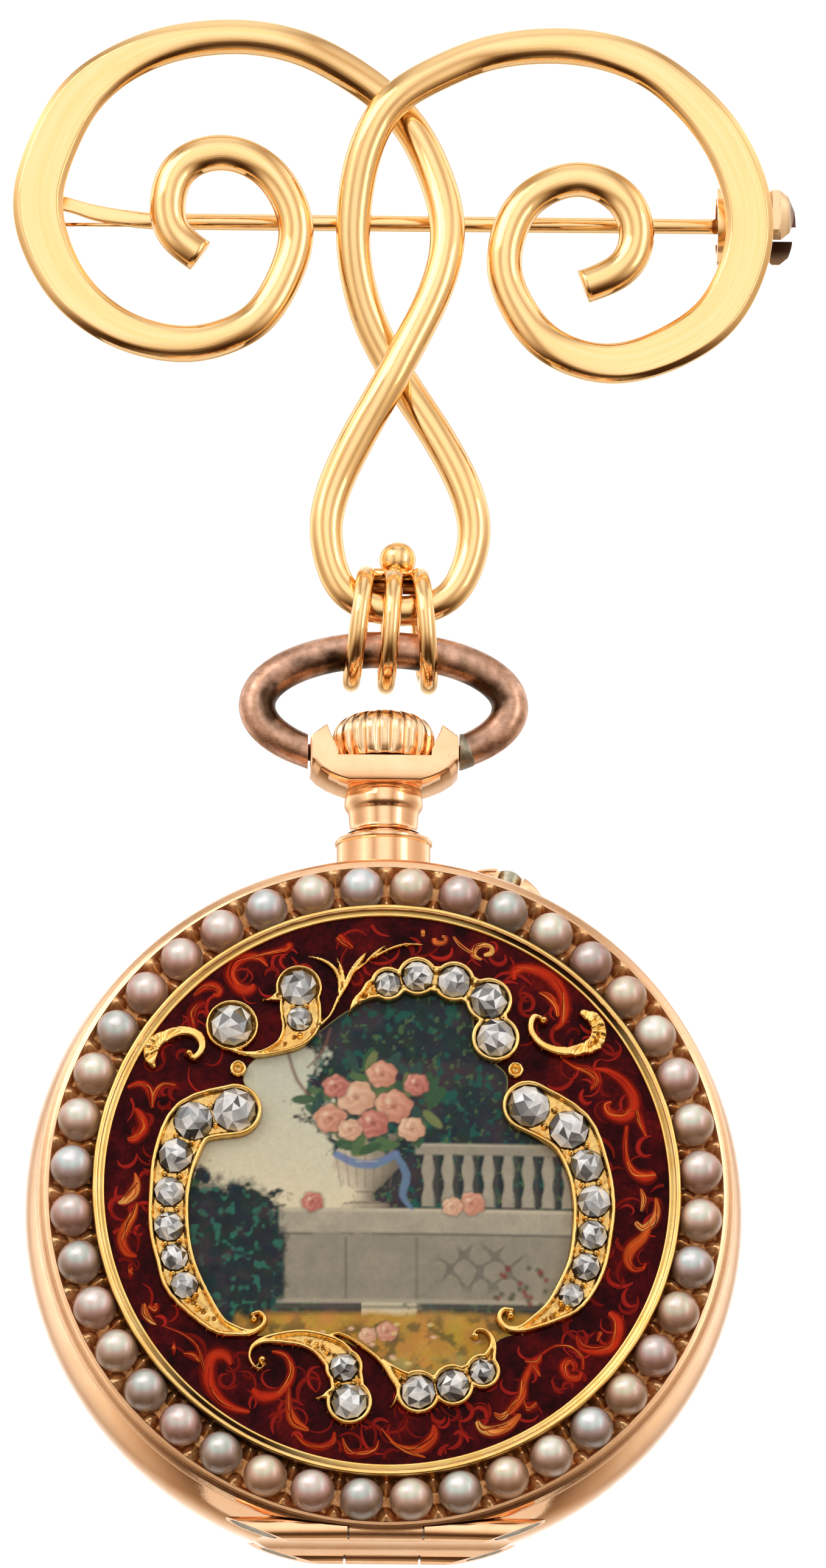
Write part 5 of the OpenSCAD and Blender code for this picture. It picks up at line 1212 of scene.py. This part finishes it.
    # the urn
    cx = -0.85
    half = np.interp((y + 0.85) / 3.0, *zip(*URN))
    shade = np.clip(0.9 - 0.55 * (x - cx) / np.maximum(half, 0.1), 0.25, 1.25) * (0.85 + 0.3 * f(3, 70))
    over(shade[:, None] * (0.52, 0.50, 0.44), post(cx, half, -0.85, 2.15), 0.07)
    for yy, hh in ((1.85, 0.05), (1.55, 0.04), (-0.2, 0.04), (-0.62, 0.05)):
        over((0.2, 0.19, 0.17), np.maximum(np.abs(y - yy) - hh, np.abs(x - cx) - half), 0.06, 0.7)
    for k in range(-3, 4):
        over((0.22, 0.2, 0.18), post(cx + k * (0.34 + 0.05 * (y - 0.5)), 0.03, 0.0, 1.45), 0.08, 0.55)
    # blue ribbon round the urn
    band = [(-1.95, 1.3, 0.14), (-1.2, 0.95, 0.17), (-0.4, 0.95, 0.17), (0.35, 1.35, 0.14)]
    end = [(0.35, 1.3, 0.12), (0.75, 0.5, 0.16), (0.6, -0.3, 0.14), (0.95, -0.85, 0.06)]
    blue = clouded((0.10, 0.20, 0.46), (0.1, 0.14, 0.2), 3, 71, 72, 73)
    over(blue, d_line(x, y, band), 0.08, 0.9)
    over((0.16, 0.28, 0.52), d_line(x, y, end), 0.08, 0.9)
    over((0.62, 0.66, 0.66), d_line(x, y, [(-1.2, 1.02, 0.02), (-0.4, 1.02, 0.02)]), 0.06, 0.6)
    # leaves and roses
    g = np.random.default_rng(12)
    for k in range(46):
        q, rr = TAU * g.random(), 0.4 + 1.95 * math.sqrt(g.random())
        lx, ly = cx + 0.15 + 1.15 * rr * math.cos(q), 3.35 + 0.8 * rr * math.sin(q)
        ang = g.random() * TAU
        u = (x - lx) * math.cos(ang) + (y - ly) * math.sin(ang)
        v = -(x - lx) * math.sin(ang) + (y - ly) * math.cos(ang)
        over(LEAF_TONES[k % 4], np.hypot(u / 0.5, v / 0.19) - 1, 0.25, 0.95)
    for rx, ry, rad, ink in ROSES:
        light, deep = INKS[ink]
        q = np.hypot(x - rx, (y - ry) * 1.1)
        ang = np.arctan2(y - ry, x - rx)
        wob = rad * (1 + 0.06 * np.sin(5 * ang + 3 * rx) + 0.04 * np.sin(9 * ang))
        petal = 0.5 + 0.5 * np.sin(9.5 * q / rad + 1.6 * ang + 2 * np.sin(2.5 * ang + rx))
        side = clamped(0.62 - 0.45 * (x - rx) / rad + 0.35 * (y - ry) / rad)
        over((0.08, 0.07, 0.06), q - wob - 0.05, 0.16, 0.6)
        over(mixed(deep, light, (0.25 + 0.75 * side) * (0.45 + 0.55 * petal)), q - wob, 0.07)
        shine = np.hypot(x - rx + 0.3 * rad, y - ry - 0.3 * rad) - 0.14 * rad
        over((0.93, 0.82, 0.72), shine, 0.2 * rad, 0.7)
        over(np.array(deep) * 0.7, q - 0.16 * rad, 0.12, 0.8)
    # small fallen petals, and dark and green flecks at the right
    for k in range(16):
        px, py = -3.4 + 9 * g.random(), -5.4 - 1.6 * g.random()
        over([(0.86, 0.62, 0.52), (0.80, 0.70, 0.36)][k % 2], oval(px, py, 0.13, 0.07), 0.4, 0.8)
    for k in range(26):
        px, py = 4.9 + 2.0 * (g.random() - 0.35), -3.9 + 1.5 * (g.random() - 0.5)
        over([(0.24, 0.06, 0.06), (0.10, 0.12, 0.08)][k % 2], np.hypot(x - px, y - py) - 0.1, 0.1, 0.8)
    varnish = np.array([0.98, 0.88, 0.74])
    return clamped(col * varnish)


def build_garden():
    outline = smooth(MINIATURE, 4, True)

    def colour(x, y, s, d):
        col = mixed(paint_garden(x, y), (0.36, 0.36, 0.12), 1 + s / 0.05)
        return col * (0.93 + 0.1 * fractal(x, y, 14, 80, 2))[:, None]

    mesh = Mesh()
    field(mesh, lambda x, y: d_polygon(x, y, outline), (-8.1, -7.9, 7.7, 8.3), 0.058,
          lambda x, y, s: dome(x, y) + 0.004, colour)
    mesh.make("garden_miniature", "cover", [PAINTED], replaces=("miniature_plate",))


# Dial side
# Figures of the dial, each as strokes of points. Columns: across, up, in shares of their height.
DIGITS = {
    "0": [[(0.5, 0), (0.15, 0.15), (0, 0.5), (0.15, 0.85), (0.5, 1), (0.5, 1)],
          [(0.5, 1), (0.55, 0.85), (0.6, 0.5), (0.55, 0.15), (0.5, 0)]],
    "1": [[(0.1, 0.78), (0.35, 1), (0.35, 0)]],
    "2": [[(0.05, 0.75), (0.2, 0.97), (0.45, 0.97), (0.55, 0.75), (0.4, 0.45), (0, 0), (0.6, 0)]],
    "3": [[(0.05, 0.85), (0.3, 1), (0.55, 0.8), (0.45, 0.58), (0.25, 0.52)],
          [(0.25, 0.52), (0.5, 0.45), (0.58, 0.22), (0.3, 0), (0.02, 0.12)]],
    "4": [[(0.45, 0), (0.45, 1), (0, 0.3), (0.62, 0.3)]],
    "5": [[(0.55, 1), (0.12, 1), (0.08, 0.55), (0.35, 0.6), (0.58, 0.4), (0.5, 0.1), (0.25, 0), (0.02, 0.1)]],
    "6": [[(0.5, 0.95), (0.2, 0.8), (0.04, 0.35), (0.15, 0.05), (0.4, 0), (0.58, 0.2), (0.5, 0.48),
           (0.25, 0.52), (0.06, 0.35)]],
    "7": [[(0.02, 1), (0.6, 1), (0.2, 0)]],
    "8": [[(0.3, 0.53), (0.08, 0.72), (0.14, 0.95), (0.3, 1), (0.46, 0.95), (0.52, 0.72), (0.3, 0.53),
           (0.04, 0.3), (0.1, 0.05), (0.3, 0), (0.5, 0.05), (0.56, 0.3), (0.3, 0.53)]],
    "9": [[(0.1, 0.05), (0.4, 0.2), (0.56, 0.65), (0.45, 0.95), (0.2, 1), (0.02, 0.8), (0.1, 0.52),
           (0.35, 0.48), (0.54, 0.65)]],
}


def flat_strip(mesh, pts, half, steps=1):
    """A thin printed line on the dial; x runs to the right as seen from the cover's side."""
    depth = -1.742
    p = smooth(pts, steps) if steps > 1 else np.array(pts, float)
    t = tangents(p)
    side = points(-t[:, 1], t[:, 0])
    xy = np.stack([p + side * half, p - side * half], 1)
    v = on_cover(np.concatenate([xy, np.full(xy.shape[:2] + (1,), depth)], -1))
    mesh.add(v, grid_faces(len(p), 2, False))


def build_dial():
    """Minute track and figures, and the cap that hides the end of the hands' arbor."""
    mesh = Mesh()
    inner, outer, figures, size, pitch, narrow = 10.72, 11.28, 9.45, 1.55, 1.02, 0.62
    for k in range(60):
        c, s = math.sin(TAU * k / 60), math.cos(TAU * k / 60)
        r0, w = (10.75, 0.07) if k % 5 == 0 else (10.95, 0.03)
        flat_strip(mesh, [(-c * r0, s * r0), (-c * 11.25, s * 11.25)], w)
    for r in (inner, outer):
        flat_strip(mesh, r * on_circle(np.linspace(0, TAU, 181)), 0.02)
    for hour in range(1, 13):
        c, s = math.sin(TAU * hour / 12), math.cos(TAU * hour / 12)
        text = str(hour)
        for i, ch in enumerate(text):
            ox = (i - (len(text) - 1) / 2) * pitch - 0.3 * size * narrow
            for line in DIGITS[ch]:
                pts = [(-(figures * c + ox + u * size * narrow), figures * s + (v - 0.5) * size)
                       for u, v in line]
                flat_strip(mesh, pts, 0.085 if ch != "1" else 0.1, 4 if ch not in "147" else 1)
    mesh.make("dial_figures", "watch", [INK])
    cap = Mesh()
    th = np.linspace(0, math.pi / 2, 8)
    turned(cap, points(0.42 * np.cos(th), -2.44 - 0.12 * np.sin(th)), 32, on_cover)
    cap.make("arbor_cap", "watch", [YELLOW])


def build_crystal():
    """The glass with a dome that is smooth right to its middle."""
    curve, top, thick = 76.5, -4.27, 0.4
    out = np.linspace(0.01, 11.7, 40)
    back = np.linspace(10.3, 0.01, 36)
    outer = points(out, top + curve - np.sqrt(curve ** 2 - out ** 2))
    inner = points(back, top + curve - np.sqrt((curve - thick) ** 2 - back ** 2))
    edge = [(11.7, -3.22), (12, -3.22), (12, -2.82), (11.3, -2.82), (11.3, -3.17), (10.35, -3.17)]
    mesh = Mesh()
    turned(mesh, np.concatenate([outer, edge, inner]), 120, on_cover)
    mesh.make("crystal_domed", "bezel", [GLASS], replaces=("crystal",))


# Put together
def dress_nodes():
    """Gives each node that stays in view, or is stood for, its material."""
    looks = {
        YELLOW: "pin_hinge catch_shell pin_stem movement left_setting right_setting top_setting "
                "plume_setting lower_setting gold_accents",
        WIRE_GOLD: "scroll_wire link_rings", CATCH: "catch_roller", SATIN_ROSE: "back_cover",
        LID_GOLD: "cuvette", ROSE: "case_body crown bezel", COPPER: "bow", PEARL: "pearls", STONE: "diamonds",
        STEEL: "cover_hinge_pin bezel_hinge_pin", PUSH_STEEL: "set_pin", BLUED: "hour_hand minute_hand",
        DIAL: "dial", GLASS: "crystal", ENAMEL_GROUND: "enamel_plate", PAINTED: "miniature_plate",
    }
    for look, names in looks.items():
        for name in names.split():
            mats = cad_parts[name].data.materials
            if len(mats):
                mats[0] = look
            else:
                mats.append(look)


def placed(name, data, place, towards):
    """An object at a place in metres that looks along a direction."""
    ob = bpy.data.objects.new(name, data)
    ob.location = place
    ob.rotation_mode = "QUATERNION"
    ob.rotation_quaternion = Vector(towards).to_track_quat("-Z", "Y")
    bpy.context.scene.collection.objects.link(ob)
    return ob


def camera():
    """A long lens from in front and below, turned a little to the side."""
    view_width, target = 61.33, np.array([1.155, -2.6, -23.52])
    az, el = math.radians(-2), math.radians(-15)
    back = np.array([math.sin(az) * math.cos(el), -math.cos(az) * math.cos(el), math.sin(el)])
    cam = bpy.data.cameras.new("camera")
    cam.lens, cam.sensor_width = 800, 36
    cam.clip_start, cam.clip_end = 0.01, 5
    distance = cam.lens / cam.sensor_width * view_width
    bpy.context.scene.camera = placed("camera", cam, (target + back * distance) * MM, -back)


def area(name, place, size, radiance):
    """A flat rectangular light of even radiance that faces the jewel."""
    light = bpy.data.lights.new(name, "AREA")
    light.shape = "RECTANGLE"
    light.size, light.size_y = size[0] * MM, size[1] * MM
    light.energy = radiance * math.pi * size[0] * size[1] * MM * MM
    aim = Vector((0, 0, -25)) - Vector(place)
    placed(name, light, Vector(place) * MM, aim)


def studio():
    """Soft light round a plain white background: darker below, brighter above, darker strips at the sides."""
    world = bpy.data.worlds.new("studio")
    bpy.context.scene.world = world
    world.use_nodes = True
    nt = world.node_tree
    sep = nt.nodes.new("ShaderNodeSeparateXYZ")
    nt.links.new(nt.nodes.new("ShaderNodeTexCoord").outputs["Generated"], sep.inputs[0])
    low, strip = (0.07, 0.04, 0.022), (0.55, 0.45, 0.36)
    high = ramp(nt, sep.outputs["Z"], [
        (-1, (0.3, 0.22, 0.15)), (-0.9, low), (-0.74, low), (-0.62, (0.18, 0.12, 0.08)),
        (-0.45, (0.46, 0.38, 0.30)), (-0.28, (0.74, 0.68, 0.6)), (0, 0.9), (0.2, 1.0), (0.64, 1.0),
        (0.87, 0.7), (1, 0.85)], -1, 1)
    wide = ramp(nt, sep.outputs["X"], [(-1, strip), (-0.75, 1.2), (-0.42, strip), (-0.14, 1.0), (0.14, 1.0),
                                       (0.42, strip), (0.7, 1.1), (1, strip)], -1, 1)
    path = nt.nodes.new("ShaderNodeLightPath")
    through = node(nt, "ShaderNodeMath", operation="MAXIMUM")
    nt.links.new(path.outputs["Is Camera Ray"], through.inputs[0])
    nt.links.new(path.outputs["Is Transmission Ray"], through.inputs[1])
    seen = node(nt, "ShaderNodeMix", data_type="RGBA")
    nt.links.new(through.outputs[0], seen.inputs[0])
    nt.links.new(times(nt, high, wide), seen.inputs[6])
    seen.inputs[7].default_value = (1, 1, 1, 1)
    nt.links.new(seen.outputs[2], nt.nodes["Background"].inputs["Color"])
    nt.nodes["Background"].inputs["Strength"].default_value = 1.3


def stage():
    """A pale floor far below, the world and two lights."""
    floor = bpy.data.meshes.new("pale_floor")
    corners = np.array([(-300, 60, -420), (300, 60, -420), (300, 560, -420), (-300, 560, -420)])
    floor.from_pydata((corners * MM).tolist(), [], [(0, 1, 2, 3)])
    floor.materials.append(plain("pale_ground", 0.91, 0.88, 3, 2, Roughness=0.9))
    ob = bpy.data.objects.new("pale_floor", floor)
    bpy.context.scene.collection.objects.link(ob)
    studio()
    area("key", (-220, -260, 230), (240, 200), 1.7)
    area("fill", (260, -220, 30), (90, 260), 1.35)
    bpy.context.scene.view_settings.view_transform = "Standard"


dress_nodes()
build_wire()
build_pin()
build_rings()
build_bow()
build_crown()
build_fork()
build_pearls()
build_pearl_floor()
build_rim()
build_enamel()
build_flames()
build_settings()
build_stones()
build_garden()
build_dial()
build_crystal()
camera()
stage()
